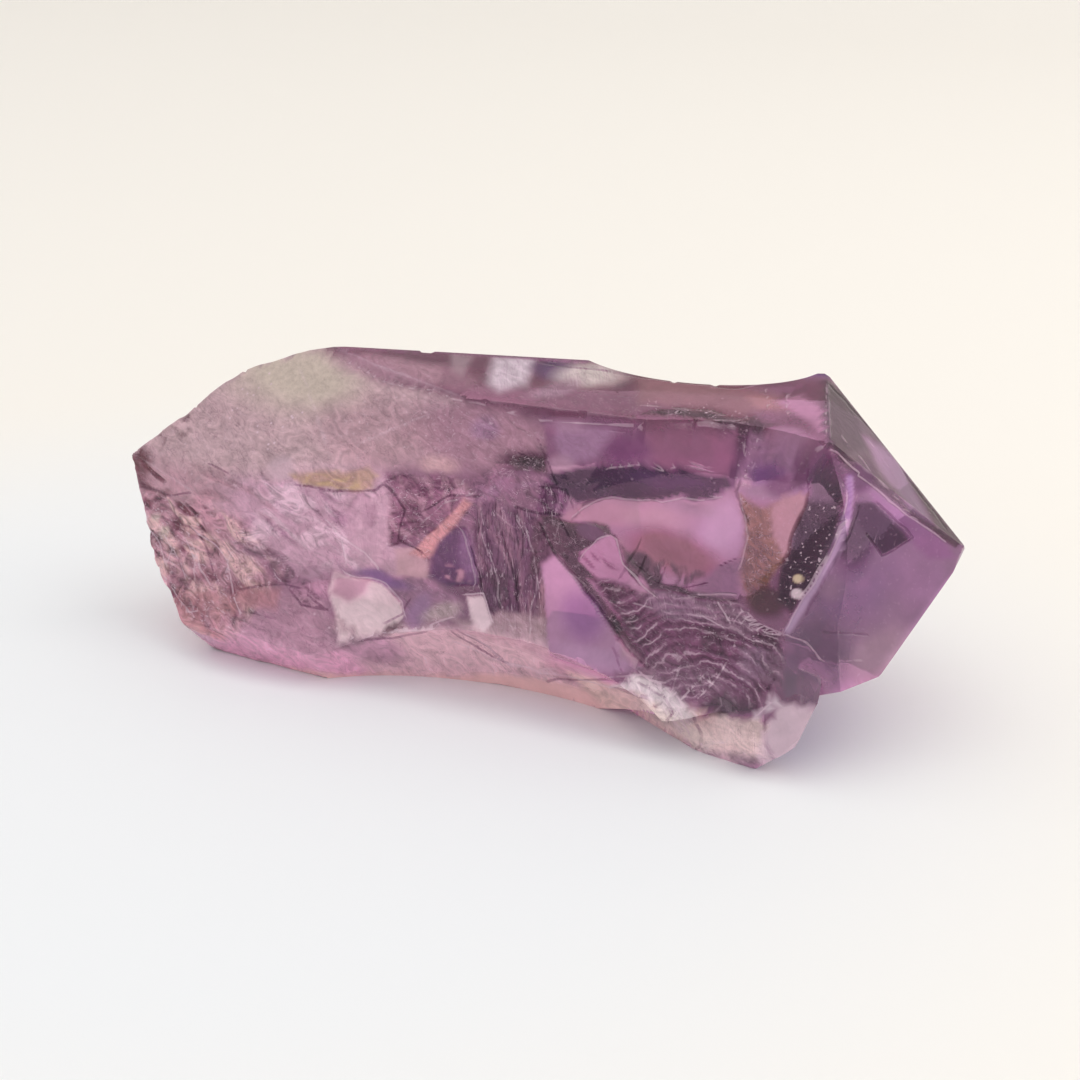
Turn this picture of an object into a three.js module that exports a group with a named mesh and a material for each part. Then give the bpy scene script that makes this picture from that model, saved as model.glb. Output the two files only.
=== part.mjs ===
// Amethyst point: one broken quartz crystal that lies on its side with its six-sided tip towards +X.
// Millimetres, +Z up. The origin is on the table, under the middle of the crystal.
//
// The stone is worked out from inside. Rays leave a line along its core and fan out to the tip and to the
// broken end. Each ray stops at the first of the flat faces that it meets, or sooner at a shell-shaped scar.
import * as THREE from "three";

// Corners of the crystal
const TIP = [41.4, 1.6, 16.4];
const SHOULDER_BACK = [26.2, 9.1, 28.6];
const SHOULDER_FRONT = [29.6, -2.3, 26.2];
const SHOULDER_LOW = [32.5, -13.8, 7.3];
const TIP_HEEL = [36.5, -9.1, 8.2];
const SLOPE_TOP = [-24.8, 4.0, 26.4];
const SLOPE_MIDDLE = [-31.3, 3.2, 24.3];
const BROKEN_TIP = [-41.2, -3.4, 16.7];
const BROKEN_MIDDLE = [-36.6, -7.6, 8.4];
const BROKEN_TOE = [-30.6, -12.1, 2.5];
const TOE_FRONT = [-25.9, -11.0, 0];

// Directions that faces look in
const FRONT = [0, -0.883, 0.469];
const UP_THE_FRONT = [0, 0.469, 0.883];
const ALONG = [1, 0, 0];
const DOWN = [0, 0, -1];

// The line inside the stone that the rays leave, and the share of the rays that fan out at its ends
const CORE_START = [-26.3, -2.3, 11.0];
const CORE_END = [23.7, 0.2, 9.5];
const FAN = 0.5;
const SLIDE = 1 - FAN * 0.75;

// The net of rays
const RINGS = 64;
const SPOKES = 52;
const SNAP = 0.46;
const HALVINGS = 8;

// How far broken faces swell and sink, and how far from an edge that fades
const GRIT = 0.22;
const EDGE_FADE = 0.5;
const NO_HIT = 400;
const TINY = 1e-4;

const vector = (p) => new THREE.Vector3(...p);

/** A flat face through a point, looking along its normal. */
function face(normal, point, grit = 0) {
  return { normal: vector(normal).normalize(), point: vector(point), grit };
}

/** A flat face through three points, looking away from the core. */
function faceThrough(a, b, c, grit = 0) {
  const plane = new THREE.Plane().setFromCoplanarPoints(vector(a), vector(b), vector(c));
  const outward = plane.distanceToPoint(vector(CORE_START)) > 0 ? -1 : 1;
  return face(plane.normal.multiplyScalar(outward).toArray(), a, grit);
}

/** A flat face through the edge from a to b, turned about it to look as nearly as it can towards a hint. */
function faceOnEdge(a, b, hint, grit = 0) {
  const edge = vector(b).sub(vector(a)).normalize();
  const normal = vector(hint).addScaledVector(edge, -vector(hint).dot(edge));
  return face(normal.toArray(), a, grit);
}

/** A place on the front face: x along the crystal, and a distance up the face from the front shoulder. */
function onFront(x, up) {
  return [x, SHOULDER_FRONT[1] + UP_THE_FRONT[1] * up, SHOULDER_FRONT[2] + UP_THE_FRONT[2] * up];
}

/**
 * A shell-shaped scar: part of an ellipsoid that bites into the stone. Its mouth is an ellipse of the given
 * half-widths, it is depth deep, and lift says how many depths the ellipsoid's middle stands off the mouth.
 */
function scar(middle, normal, along, halfWidths, depth, lift = 2, grit = 0) {
  const out = vector(normal).normalize();
  const side = vector(along).addScaledVector(out, -vector(along).dot(out)).normalize();
  const across = new THREE.Vector3().crossVectors(out, side);
  const widen = 1 / Math.sqrt(1 - (lift / (1 + lift)) ** 2);
  const radii = [halfWidths[0] * widen, halfWidths[1] * widen, depth * (1 + lift)];
  return { centre: vector(middle).addScaledVector(out, lift * depth), axes: [side, across, out], radii, grit };
}

// The faces that bound the crystal: its growth faces are flat, and its broken ones carry grit
const CRYSTAL = [
  faceThrough(SHOULDER_BACK, SHOULDER_FRONT, [-11.3, -2.5, 26.0]),
  face(FRONT, SHOULDER_FRONT),
  faceThrough(SHOULDER_FRONT, SHOULDER_LOW, TIP),
  faceThrough(SHOULDER_BACK, SHOULDER_FRONT, TIP),
  faceOnEdge(SHOULDER_BACK, TIP, [0.55, 0.62, 0.56]),
  faceOnEdge(TIP, TIP_HEEL, [0.6, 0.35, -0.71]),
  faceOnEdge(TIP_HEEL, SHOULDER_LOW, [0.2, -0.145, -0.85]),
  face([0.93, -0.1, -0.1], [40.85, 1.4, 16.0]),
  face([-0.105, 0.866, 0.48], SHOULDER_BACK),
  face([0.02, 0.9, -0.43], [4.7, 14.2, 12.0]),
  face(DOWN, [0, 0, 0]),
  faceThrough([-19.3, 2.8, 26.9], [1.6, -4.2, 26.0], [-41.0, -3.3, 16.0], GRIT),
  faceOnEdge(SLOPE_TOP, SLOPE_MIDDLE, [-0.3, 0.85, 0.43], GRIT),
  faceOnEdge(SLOPE_MIDDLE, BROKEN_TIP, [-0.55, 0.75, 0.1], GRIT),
  faceOnEdge(BROKEN_TIP, BROKEN_MIDDLE, [-0.9, -0.3, -0.33], GRIT),
  faceOnEdge(BROKEN_MIDDLE, BROKEN_TOE, [-0.85, 0, -0.45], GRIT),
  faceThrough(onFront(-29.3, -12), onFront(-25.3, -23), [-38.9, -5.1, 13.0], GRIT),
  faceOnEdge(TOE_FRONT, [-18.0, -11.9, 0], [-0.09, -0.8, -0.55], GRIT),
  faceOnEdge(BROKEN_TOE, TOE_FRONT, [-0.43, -0.9, -0.5], GRIT),
];

// The frosted foot that sticks out under the tip and reaches the table
const FOOT = [
  face([0, -0.93, 0.36], [27.1, -14.5, 5.9]),
  face([0.8, 0.3, -0.4], SHOULDER_LOW),
  faceOnEdge([30.8, -15.5, 3.1], [28.5, -16.2, 1.1], [0.5, -0.1, -0.85]),
  face([0.15, -0.45, 0.88], SHOULDER_LOW),
  face(DOWN, [0, 0, 0]),
  faceOnEdge([15.0, -8.7, 0], [21.0, -12.5, 0], [-0.53, -0.84, 0.15]),
  faceOnEdge([21.0, -12.7, 0], [26.0, -14.0, 0], [-0.28, -0.92, -0.35], GRIT),
  face([0, 0.55, -0.83], [24.7, -6.3, 0]),
  face([0, 0.9, 0.44], [24.7, 3.7, 11.0]),
];

// The scars: the clear window by the tip first, then the rest of the front, the underside and the back
const SCARS = [
  scar(onFront(20.1, -12.2), [0.03, -0.84, 0.54], ALONG, [12.9, 12.6], 3.2, 3),
  scar([2.0, -12.3, 2.5], [0, -0.8, -0.6], ALONG, [15.5, 7.5], 4.0),
  scar([13.3, 7.3, 28.0], [0, 0.5, 0.86], ALONG, [10, 7], 1.8),
  scar(onFront(7.9, -17.2), [0.12, -0.86, 0.5], [0.35, 0, 1], [8, 6], 1.2),
  scar(onFront(-4.8, -14.5), FRONT, [1, 0, 0.2], [8, 8.5], 1.5, 2, GRIT),
  scar(onFront(-16.8, -12.5), FRONT, [1, 0, -0.1], [10, 7], 1.1, 2, GRIT),
  scar(onFront(-10.3, -22), FRONT, ALONG, [8.5, 4.5], 1.2, 2, GRIT),
  scar(onFront(-26.3, -20), [-0.25, -0.86, 0.43], [1, 0, -0.4], [9.5, 6.5], 1.3, 2, GRIT),
  scar([-9.3, 10.7, 22.0], [-0.1, 0.87, 0.49], [1, 0, 0.1], [12, 8], 2.0),
  scar([12.7, 14.2, 10.0], [0.1, 0.95, -0.3], [1, 0, -0.3], [13, 8], 2.4),
  scar([-33.3, 3.7, 9.0], [-0.7, 0.6, -0.2], [0, 1, 0.5], [7, 6], 1.6, 2, GRIT),
];

/** The ray for a ring place from -1, the broken end, to 1, the tip, and an angle round the crystal. */
function rayAt(place, angle) {
  const tilt = THREE.MathUtils.clamp((Math.abs(place) - 1 + FAN) / FAN, 0, 1) * (Math.PI / 2);
  const along = 0.5 + 0.5 * THREE.MathUtils.clamp(place / SLIDE, -1, 1);
  const origin = vector(CORE_START).lerp(vector(CORE_END), along);
  const pole = place < 0 ? vector(BROKEN_TIP).sub(vector(CORE_START)) : vector(TIP).sub(vector(CORE_END));
  const out = new THREE.Vector3(0, Math.cos(angle), Math.sin(angle)).multiplyScalar(Math.cos(tilt));
  return new THREE.Ray(origin, out.addScaledVector(pole.normalize(), Math.sin(tilt)).normalize());
}

/** How far along a ray a face lies, and whether the ray leaves the stone there or enters it. */
function crossFace(ray, { normal, point }) {
  const slope = ray.direction.dot(normal);
  const gap = point.clone().sub(ray.origin).dot(normal);
  if (Math.abs(slope) < TINY) return { leaves: gap >= 0, distance: gap >= 0 ? NO_HIT : -NO_HIT };
  return { leaves: slope > 0, distance: gap / slope };
}

/** How far along a ray it first enters a scar's ellipsoid. */
function crossScar(ray, { centre, axes, radii }) {
  const local = (v) => vector(axes.map((axis, k) => v.dot(axis) / radii[k]));
  const start = local(ray.origin.clone().sub(centre));
  const step = local(ray.direction);
  const a = step.lengthSq();
  const b = step.dot(start);
  const inside = b * b - a * (start.lengthSq() - 1);
  const distance = inside > 0 ? (-b - Math.sqrt(inside)) / a : NO_HIT;
  return distance > 0 ? distance : NO_HIT;
}

/** The distance from the core to the surface, the surface that is met there, and every surface's distance. */
function measure(place, angle) {
  const ray = rayAt(place, angle);
  const crystal = CRYSTAL.map((surface) => crossFace(ray, surface));
  const shell = crystal.map(({ leaves, distance }) => (leaves ? distance : NO_HIT));
  let reach = Math.min(...shell);
  let met = shell.indexOf(reach);
  const foot = FOOT.map((surface) => crossFace(ray, surface));
  const exits = foot.map(({ leaves, distance }) => (leaves ? distance : NO_HIT));
  const enters = Math.max(...foot.map(({ leaves, distance }) => (leaves ? 0 : distance)));
  const footReach = Math.min(...exits);
  if (enters < footReach && footReach > reach) {
    reach = footReach;
    met = CRYSTAL.length + exits.indexOf(footReach);
  }
  const bites = SCARS.map((surface) => crossScar(ray, surface));
  const nearest = Math.min(...bites);
  if (nearest < reach) {
    reach = nearest;
    met = CRYSTAL.length + FOOT.length + bites.indexOf(nearest);
  }
  return { ray, reach, met, distances: [...shell, ...exits, ...bites] };
}

const SURFACES = [...CRYSTAL, ...FOOT, ...SCARS];

/** Long swells, from -1 to 1, that roughen a broken face. */
function swell({ x, y, z }) {
  const broad = Math.sin(0.9 * x + 0.4 * z + 1.3) * Math.sin(0.8 * z - 0.5 * y + 0.4);
  const fine = Math.sin(1.5 * x - 0.9 * z + 2.1) * Math.sin(1.6 * z + 0.8 * y + 0.7);
  return (broad + 0.6 * fine) / 1.6;
}

/** A point on the finished surface: grit fades out where a smooth face is near. */
function pointAt(place, angle) {
  const { ray, reach, distances } = measure(place, angle);
  const weights = distances.map((distance) => Math.exp(-Math.abs(distance - reach) / EDGE_FADE));
  const total = weights.reduce((sum, weight) => sum + weight, 0);
  const grit = weights.reduce((sum, weight, k) => sum + weight * SURFACES[k].grit, 0) / total;
  const smooth = ray.at(reach, new THREE.Vector3());
  return ray.at(reach + grit * (swell(smooth) - 1), new THREE.Vector3());
}

const ringStep = 2 / (RINGS - 1);
const spokeStep = (2 * Math.PI) / SPOKES;
const NEIGHBOURS = [[1, 0], [-1, 0], [0, 1], [0, -1], [1, 1], [1, -1], [-1, 1], [-1, -1]];

/** Slides a net point onto the nearest edge between two surfaces, so that the edges come out sharp. */
function snapToEdge(place, angle) {
  const own = measure(place, angle).met;
  let best = { length: Infinity, place, angle };
  for (const [ring, spoke] of NEIGHBOURS) {
    const met = (share) => measure(place + ring * share * ringStep, angle + spoke * share * spokeStep).met;
    if (met(SNAP) === own) continue;
    let low = 0;
    let high = SNAP;
    for (let k = 0; k < HALVINGS; k += 1) {
      const middle = (low + high) / 2;
      if (met(middle) === own) low = middle;
      else high = middle;
    }
    const length = low * Math.hypot(ring, spoke);
    if (length < best.length) {
      best = { length, place: place + ring * low * ringStep, angle: angle + spoke * low * spokeStep };
    }
  }
  return best;
}

/** Twice the signed area of a triangle on the unrolled net. */
function netArea(a, b, c) {
  return (b.place - a.place) * (c.angle - a.angle) - (c.place - a.place) * (b.angle - a.angle);
}

/** How far the surface stands off the straight line between two net points. */
function sag(a, b) {
  const middle = pointAt((a.place + b.place) / 2, (a.angle + b.angle) / 2);
  return middle.distanceTo(a.point.clone().add(b.point).multiplyScalar(0.5));
}

/** The net of surface points, ring by ring, with one point at each end of the crystal. */
function makeNet() {
  const net = [];
  for (let ring = 1; ring < RINGS - 1; ring += 1) {
    const row = [];
    for (let spoke = 0; spoke < SPOKES; spoke += 1) {
      const { place, angle } = snapToEdge(-1 + ring * ringStep, spoke * spokeStep);
      row.push({ place, angle, point: pointAt(place, angle), index: (ring - 1) * SPOKES + spoke });
    }
    net.push(row);
  }
  return net;
}

/** The crystal's closed surface: two triangles for each opening of the net, and a cap of them at each end. */
function makeCrystal() {
  const net = makeNet();
  const positions = net.flat().flatMap(({ point }) => point.toArray());
  const firstPole = positions.length / 3;
  positions.push(...pointAt(-1, 0).toArray(), ...pointAt(1, 0).toArray());
  const triangles = [];
  const addTriangle = (a, b, c) => triangles.push(a, c, b);
  for (let spoke = 0; spoke < SPOKES; spoke += 1) {
    const next = (spoke + 1) % SPOKES;
    addTriangle(firstPole, net[0][spoke].index, net[0][next].index);
    addTriangle(firstPole + 1, net.at(-1)[next].index, net.at(-1)[spoke].index);
  }
  const turn = (node, wrapped) => (wrapped ? { ...node, angle: node.angle + 2 * Math.PI } : node);
  for (let ring = 0; ring + 1 < net.length; ring += 1) {
    for (let spoke = 0; spoke < SPOKES; spoke += 1) {
      const wrapped = spoke + 1 === SPOKES;
      const next = wrapped ? 0 : spoke + 1;
      const a = net[ring][spoke];
      const b = net[ring + 1][spoke];
      const c = turn(net[ring + 1][next], wrapped);
      const d = turn(net[ring][next], wrapped);
      const splitAC = Math.min(netArea(a, b, c), netArea(a, c, d));
      const splitBD = Math.min(netArea(a, b, d), netArea(b, c, d));
      const bothGood = Math.min(splitAC, splitBD) > 0;
      if (bothGood ? sag(a, c) <= sag(b, d) : splitAC > splitBD) {
        addTriangle(a.index, b.index, c.index);
        addTriangle(a.index, c.index, d.index);
      } else {
        addTriangle(a.index, b.index, d.index);
        addTriangle(b.index, c.index, d.index);
      }
    }
  }
  const geometry = new THREE.BufferGeometry();
  geometry.setAttribute("position", new THREE.Float32BufferAttribute(positions, 3));
  geometry.setIndex(triangles);
  geometry.computeVertexNormals();
  return geometry;
}

const amethyst = new THREE.MeshStandardMaterial({ color: 0x8f6a9c, roughness: 0.08, metalness: 0 });

const crystal = new THREE.Mesh(makeCrystal(), amethyst);
crystal.name = "amethyst_point";

const group = new THREE.Group();
group.add(crystal);

export default group;
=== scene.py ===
"""The looks of an amethyst point that lies on a pale table: a clear violet crystal with shell-shaped scars,
a six-sided tip, a frosted broken end, and cloudy veils and cracks inside.

The stone is measured in millimetres here, as it was drawn, and turned to metres when its mesh is made.
"""
from math import radians

import bpy
import numpy as np
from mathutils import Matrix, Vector


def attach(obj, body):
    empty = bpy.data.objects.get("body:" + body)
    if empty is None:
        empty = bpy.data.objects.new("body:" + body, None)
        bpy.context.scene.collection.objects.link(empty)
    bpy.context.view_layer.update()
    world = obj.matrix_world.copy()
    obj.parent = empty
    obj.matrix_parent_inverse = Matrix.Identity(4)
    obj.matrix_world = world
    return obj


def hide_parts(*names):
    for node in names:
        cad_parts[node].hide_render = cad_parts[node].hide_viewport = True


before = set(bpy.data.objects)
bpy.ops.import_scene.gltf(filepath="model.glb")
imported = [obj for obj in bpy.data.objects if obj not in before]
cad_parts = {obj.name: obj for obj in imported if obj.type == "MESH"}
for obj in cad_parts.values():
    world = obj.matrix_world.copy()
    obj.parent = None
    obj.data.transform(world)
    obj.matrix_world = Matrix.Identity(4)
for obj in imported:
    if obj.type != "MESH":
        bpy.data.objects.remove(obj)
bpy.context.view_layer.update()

MM = 0.001

# Corners of the crystal
TIP = (41.4, 1.6, 16.4)
SHOULDER_BACK = (26.2, 9.1, 28.6)
SHOULDER_FRONT = (29.6, -2.3, 26.2)
SHOULDER_LOW = (32.5, -13.8, 7.3)
TIP_HEEL = (36.5, -9.1, 8.2)
SLOPE_TOP = (-24.8, 4.0, 26.4)
SLOPE_MIDDLE = (-31.3, 3.2, 24.3)
BROKEN_TIP = (-41.2, -3.4, 16.7)
BROKEN_MIDDLE = (-36.6, -7.6, 8.4)
BROKEN_TOE = (-30.6, -12.1, 2.5)
TOE_FRONT = (-25.9, -11.0, 0)

# Directions that faces look in
FRONT = (0, -0.883, 0.469)
UP_THE_FRONT = (0, 0.469, 0.883)
ALONG = (1, 0, 0)
DOWN = (0, 0, -1)

# The line inside the stone that the rays leave, and the share of the rays that fan out at its ends
CORE_START = (-26.3, -2.3, 11.0)
CORE_END = (23.7, 0.2, 9.5)
FAN = 0.5
SLIDE = 1 - FAN * 0.75

# The net of rays: it is finest on the front of the stone
RINGS = 330
SPOKES = 300
FRONT_ANGLE = radians(150)
FRONT_LEAN = 0.8
LEAN_WIDTH = 0.2
SNAP = 0.46
HALVINGS = 6
EDGE_FADE = 0.35
NO_HIT = 400.0
TINY = 1e-4


def unit(v):
    """A vector of length one."""
    v = np.asarray(v, float)
    return v / np.linalg.norm(v)


class Face:
    """A flat face through a point. grit says how rough its break is, 0 to 1."""

    def __init__(self, name, normal, point, grit=0.0):
        self.name, self.normal, self.point, self.grit = name, unit(normal), np.array(point, float), grit

    def cross(self, start, step):
        """Distance along each ray, and whether the ray leaves the stone there."""
        slope = step @ self.normal
        gap = (self.point - start) @ self.normal
        level = np.abs(slope) < TINY
        distance = gap / np.where(level, 1.0, slope)
        distance = np.where(level, np.where(gap >= 0, NO_HIT, -NO_HIT), distance)
        return distance, np.where(level, gap >= 0, slope > 0)


def face_through(name, a, b, c, grit=0.0):
    """A face through three points, looking away from the core."""
    normal = np.cross(np.subtract(b, a), np.subtract(c, a))
    if normal @ np.subtract(CORE_START, a) > 0:
        normal = -normal
    return Face(name, normal, a, grit)


def face_on_edge(name, a, b, hint, grit=0.0):
    """A face through the edge from a to b, turned about it to look as nearly as it can towards a hint."""
    edge = unit(np.subtract(b, a))
    return Face(name, np.array(hint, float) - (np.array(hint) @ edge) * edge, a, grit)


def on_front(x, up):
    """A place on the front face: x along the crystal, and a distance up from the front shoulder."""
    return np.array((x, 0, 0)) + np.array((0, *SHOULDER_FRONT[1:])) + unit(UP_THE_FRONT) * up


class Scar:
    """A shell-shaped scar: part of an ellipsoid that bites into the stone.

    Its mouth is an ellipse of the given half-widths, it is depth deep, and lift says how many depths the
    ellipsoid's middle stands off the mouth.
    """

    def __init__(self, name, middle, normal, along, half_widths, depth, lift=2, grit=0.0):
        out = unit(normal)
        side = unit(np.array(along, float) - (np.array(along) @ out) * out)
        widen = 1 / np.sqrt(1 - (lift / (1 + lift)) ** 2)
        self.name, self.grit = name, grit
        self.axes = np.array([side, np.cross(out, side), out])
        self.radii = np.array([half_widths[0] * widen, half_widths[1] * widen, depth * (1 + lift)])
        self.centre = np.array(middle, float) + out * lift * depth

    def cross(self, start, step):
        """Distance along each ray to where it first enters the ellipsoid."""
        local_start = (start - self.centre) @ self.axes.T / self.radii
        local_step = step @ self.axes.T / self.radii
        a = (local_step ** 2).sum(-1)
        b = (local_step * local_start).sum(-1)
        inside = b * b - a * ((local_start ** 2).sum(-1) - 1)
        distance = (-b - np.sqrt(np.maximum(inside, 0))) / a
        return np.where((inside > 0) & (distance > 0), distance, NO_HIT)


CRYSTAL = [
    face_through("top", SHOULDER_BACK, SHOULDER_FRONT, (-11.3, -2.5, 26.0)),
    Face("front", FRONT, SHOULDER_FRONT, 0.12),
    face_through("tip_front", SHOULDER_FRONT, SHOULDER_LOW, TIP),
    face_through("tip_top", SHOULDER_BACK, SHOULDER_FRONT, TIP),
    face_on_edge("tip_back", SHOULDER_BACK, TIP, (0.55, 0.62, 0.56)),
    face_on_edge("tip_under", TIP, TIP_HEEL, (0.6, 0.35, -0.71)),
    face_on_edge("tip_below", TIP_HEEL, SHOULDER_LOW, (0.2, -0.145, -0.85)),
    Face("tip_chip", (0.93, -0.1, -0.1), (40.85, 1.4, 16.0)),
    Face("back_upper", (-0.105, 0.866, 0.48), SHOULDER_BACK),
    Face("back_lower", (0.02, 0.9, -0.43), (4.7, 14.2, 12.0)),
    Face("base", DOWN, (0, 0, 0)),
    face_through("pale_slope", (-19.3, 2.8, 26.9), (1.6, -4.2, 26.0), (-41.0, -3.3, 16.0), 0.8),
    face_on_edge("corner_back", SLOPE_TOP, SLOPE_MIDDLE, (-0.3, 0.85, 0.43), 0.9),
    face_on_edge("slope_back", SLOPE_MIDDLE, BROKEN_TIP, (-0.55, 0.75, 0.1), 1),
    face_on_edge("broken_tip", BROKEN_TIP, BROKEN_MIDDLE, (-0.9, -0.3, -0.33), 1),
    face_on_edge("broken_end", BROKEN_MIDDLE, BROKEN_TOE, (-0.85, 0, -0.45), 1),
    face_through("broken_front", on_front(-29.3, -12), on_front(-25.3, -23), (-38.9, -5.1, 13.0), 1),
    face_on_edge("low_front", TOE_FRONT, (-18.0, -11.9, 0), (-0.09, -0.8, -0.55), 0.7),
    face_on_edge("toe", BROKEN_TOE, TOE_FRONT, (-0.43, -0.9, -0.5), 1),
]

FOOT = [
    Face("foot_front", (0, -0.93, 0.36), (27.1, -14.5, 5.9), 0.25),
    Face("foot_right", (0.8, 0.3, -0.4), SHOULDER_LOW),
    face_on_edge("foot_heel", (30.8, -15.5, 3.1), (28.5, -16.2, 1.1), (0.5, -0.1, -0.85), 0.3),
    Face("foot_top", (0.15, -0.45, 0.88), SHOULDER_LOW),
    Face("foot_base", DOWN, (0, 0, 0)),
    face_on_edge("foot_left", (15.0, -8.7, 0), (21.0, -12.5, 0), (-0.53, -0.84, 0.15), 0.4),
    face_on_edge("foot_low", (21.0, -12.7, 0), (26.0, -14.0, 0), (-0.28, -0.92, -0.35), 1),
    Face("foot_back", (0, 0.55, -0.83), (24.7, -6.3, 0)),
    Face("foot_lid", (0, 0.9, 0.44), (24.7, 3.7, 11.0)),
]

SCARS = [
    Scar("window", on_front(20.1, -12.2), (0.03, -0.84, 0.54), ALONG, (12.9, 12.6), 3.2, 3),
    Scar("arch", (2.0, -12.3, 2.5), (0, -0.8, -0.6), ALONG, (15.5, 7.5), 4.0),
    Scar("top_dip", (13.3, 7.3, 28.0), (0, 0.5, 0.86), ALONG, (10, 7), 1.8),
    Scar("lilac", on_front(7.9, -17.2), (0.12, -0.86, 0.5), (0.35, 0, 1), (8, 6), 1.2),
    Scar("fan", on_front(-4.8, -14.5), FRONT, (1, 0, 0.2), (8, 8.5), 1.5, 2, 0.9),
    Scar("wisp", on_front(-16.8, -12.5), FRONT, (1, 0, -0.1), (10, 7), 1.1, 2, 0.7),
    Scar("hollow", on_front(-10.3, -22), FRONT, ALONG, (8.5, 4.5), 1.2, 2, 0.6),
    Scar("heel", on_front(-26.3, -20), (-0.25, -0.86, 0.43), (1, 0, -0.4), (9.5, 6.5), 1.3, 2, 0.9),
    Scar("back_chip", (-9.3, 10.7, 22.0), (-0.1, 0.87, 0.49), (1, 0, 0.1), (12, 8), 2.0),
    Scar("back_bite", (12.7, 14.2, 10.0), (0.1, 0.95, -0.3), (1, 0, -0.3), (13, 8), 2.4),
    Scar("tail_bite", (-33.3, 3.7, 9.0), (-0.7, 0.6, -0.2), (0, 1, 0.5), (7, 6), 1.6, 2, 1),
]

SURFACES = CRYSTAL + FOOT + SCARS


def rays(place, angle):
    """Rays for ring places from -1, the broken end, to 1, the tip, and angles round the crystal.

    Between the ends they stand square to the core line. Towards an end they tilt, by up to a quarter turn,
    until they point at the end's corner.
    """
    tilt = np.clip((np.abs(place) - 1 + FAN) / FAN, 0, 1) * np.pi / 2
    along = 0.5 + 0.5 * np.clip(place / SLIDE, -1, 1)
    start = np.array(CORE_START) + np.subtract(CORE_END, CORE_START) * along[:, None]
    to_start, to_end = unit(np.subtract(BROKEN_TIP, CORE_START)), unit(np.subtract(TIP, CORE_END))
    pole = np.where((place < 0)[:, None], to_start, to_end)
    out = np.stack([0 * angle, np.cos(angle), np.sin(angle)], -1)
    step = out * np.cos(tilt)[:, None] + pole * np.sin(tilt)[:, None]
    return start, step / np.linalg.norm(step, axis=1, keepdims=True)


def measure(place, angle):
    """The rays, how far each runs to the surface, which surface it meets, and its distance to every one."""
    start, step = rays(place, angle)
    crossings = [face.cross(start, step) for face in CRYSTAL]
    shell = np.stack([np.where(leaves, distance, NO_HIT) for distance, leaves in crossings])
    met, reach = shell.argmin(0), shell.min(0)
    crossings = [face.cross(start, step) for face in FOOT]
    exits = np.stack([np.where(leaves, distance, NO_HIT) for distance, leaves in crossings])
    enters = np.stack([np.where(leaves, 0, distance) for distance, leaves in crossings]).max(0)
    foot_reach = exits.min(0)
    on_foot = (enters < foot_reach) & (foot_reach > reach)
    reach = np.where(on_foot, foot_reach, reach)
    met = np.where(on_foot, len(CRYSTAL) + exits.argmin(0), met)
    bites = np.stack([scar.cross(start, step) for scar in SCARS])
    bitten = bites.min(0) < reach
    reach = np.where(bitten, bites.min(0), reach)
    met = np.where(bitten, len(CRYSTAL) + len(FOOT) + bites.argmin(0), met)
    return start, step, reach, met, np.concatenate([shell, exits, bites])


# Large numbers that mix a lattice cell and a seed into a random number, the bits of it that are kept, and how
# far each layer of noise is shifted from the last
CELL_MIX = (374761393, 668265263, 1103515245)
SEED_MIX = 97
LAST_MIX = 1274126177
LOW_32_BITS = 0xFFFFFFFF
LOW_16_BITS = 0xFFFF
OCTAVE_SHIFT = 13.7


def value_noise(points, seed):
    """Smooth noise from -1 to 1: random values on a unit lattice, blended by a quintic fade."""
    base = np.floor(points).astype(np.int64)
    part = points - base
    eased = part ** 3 * (part * (part * 6 - 15) + 10)
    total = np.zeros(len(points))
    for corner in np.ndindex(2, 2, 2):
        mixed = ((base + corner) @ CELL_MIX + seed * SEED_MIX) & LOW_32_BITS
        mixed = ((mixed ^ (mixed >> 13)) * LAST_MIX) & LOW_32_BITS
        mixed = (mixed ^ (mixed >> 16)) & LOW_16_BITS
        weight = np.where(corner, eased, 1 - eased).prod(1)
        total += weight * (mixed / (LOW_16_BITS / 2) - 1)
    return total


def rough(points, size, octaves, seed):
    """Several layers of value noise, each half the size and half the strength of the one before."""
    total, most = 0, 0
    for k in range(octaves):
        total = total + value_noise(points / size * 2 ** k + OCTAVE_SHIFT * k, seed + k) / 2 ** k
        most += 0.5 ** k
    return total / most


# How far a broken face sinks by its swells and its grain, in mm, the level of grain that sinks nothing, and
# how strong the finer swells are
SWELL = 0.22
GRAIN = 0.16
GRAIN_LEVEL = 0.4
FINE_SWELL = 0.6


def swell(points):
    """Swells from -1 to 1: a product of two long sine waves, and a weaker product of two shorter ones."""
    x, y, z = points.T
    broad = np.sin(0.9 * x + 0.4 * z + 1.3) * np.sin(0.8 * z - 0.5 * y + 0.4)
    fine = np.sin(1.5 * x - 0.9 * z + 2.1) * np.sin(1.6 * z + 0.8 * y + 0.7)
    return (broad + FINE_SWELL * fine) / (1 + FINE_SWELL)


def surface_points(place, angle):
    """Points on the finished surface, with each one's share of every surface near it.

    Broken faces sink by their swell and grain, and that fades out where a smooth face is near.
    """
    start, step, reach, _, distances = measure(place, angle)
    weights = np.exp(-np.abs(distances - reach) / EDGE_FADE)
    weights /= weights.sum(0)
    smooth = start + step * reach[:, None]
    grit = np.array([surface.grit for surface in SURFACES]) @ weights
    grain = rough(smooth, size=1.9, octaves=4, seed=5) - GRAIN_LEVEL
    sink = SWELL * (swell(smooth) - 1) + GRAIN * grain
    return start + step * (reach + grit * sink)[:, None], weights


NEIGHBOURS = ((1, 0), (-1, 0), (0, 1), (0, -1), (1, 1), (1, -1), (-1, 1), (-1, -1))


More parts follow.
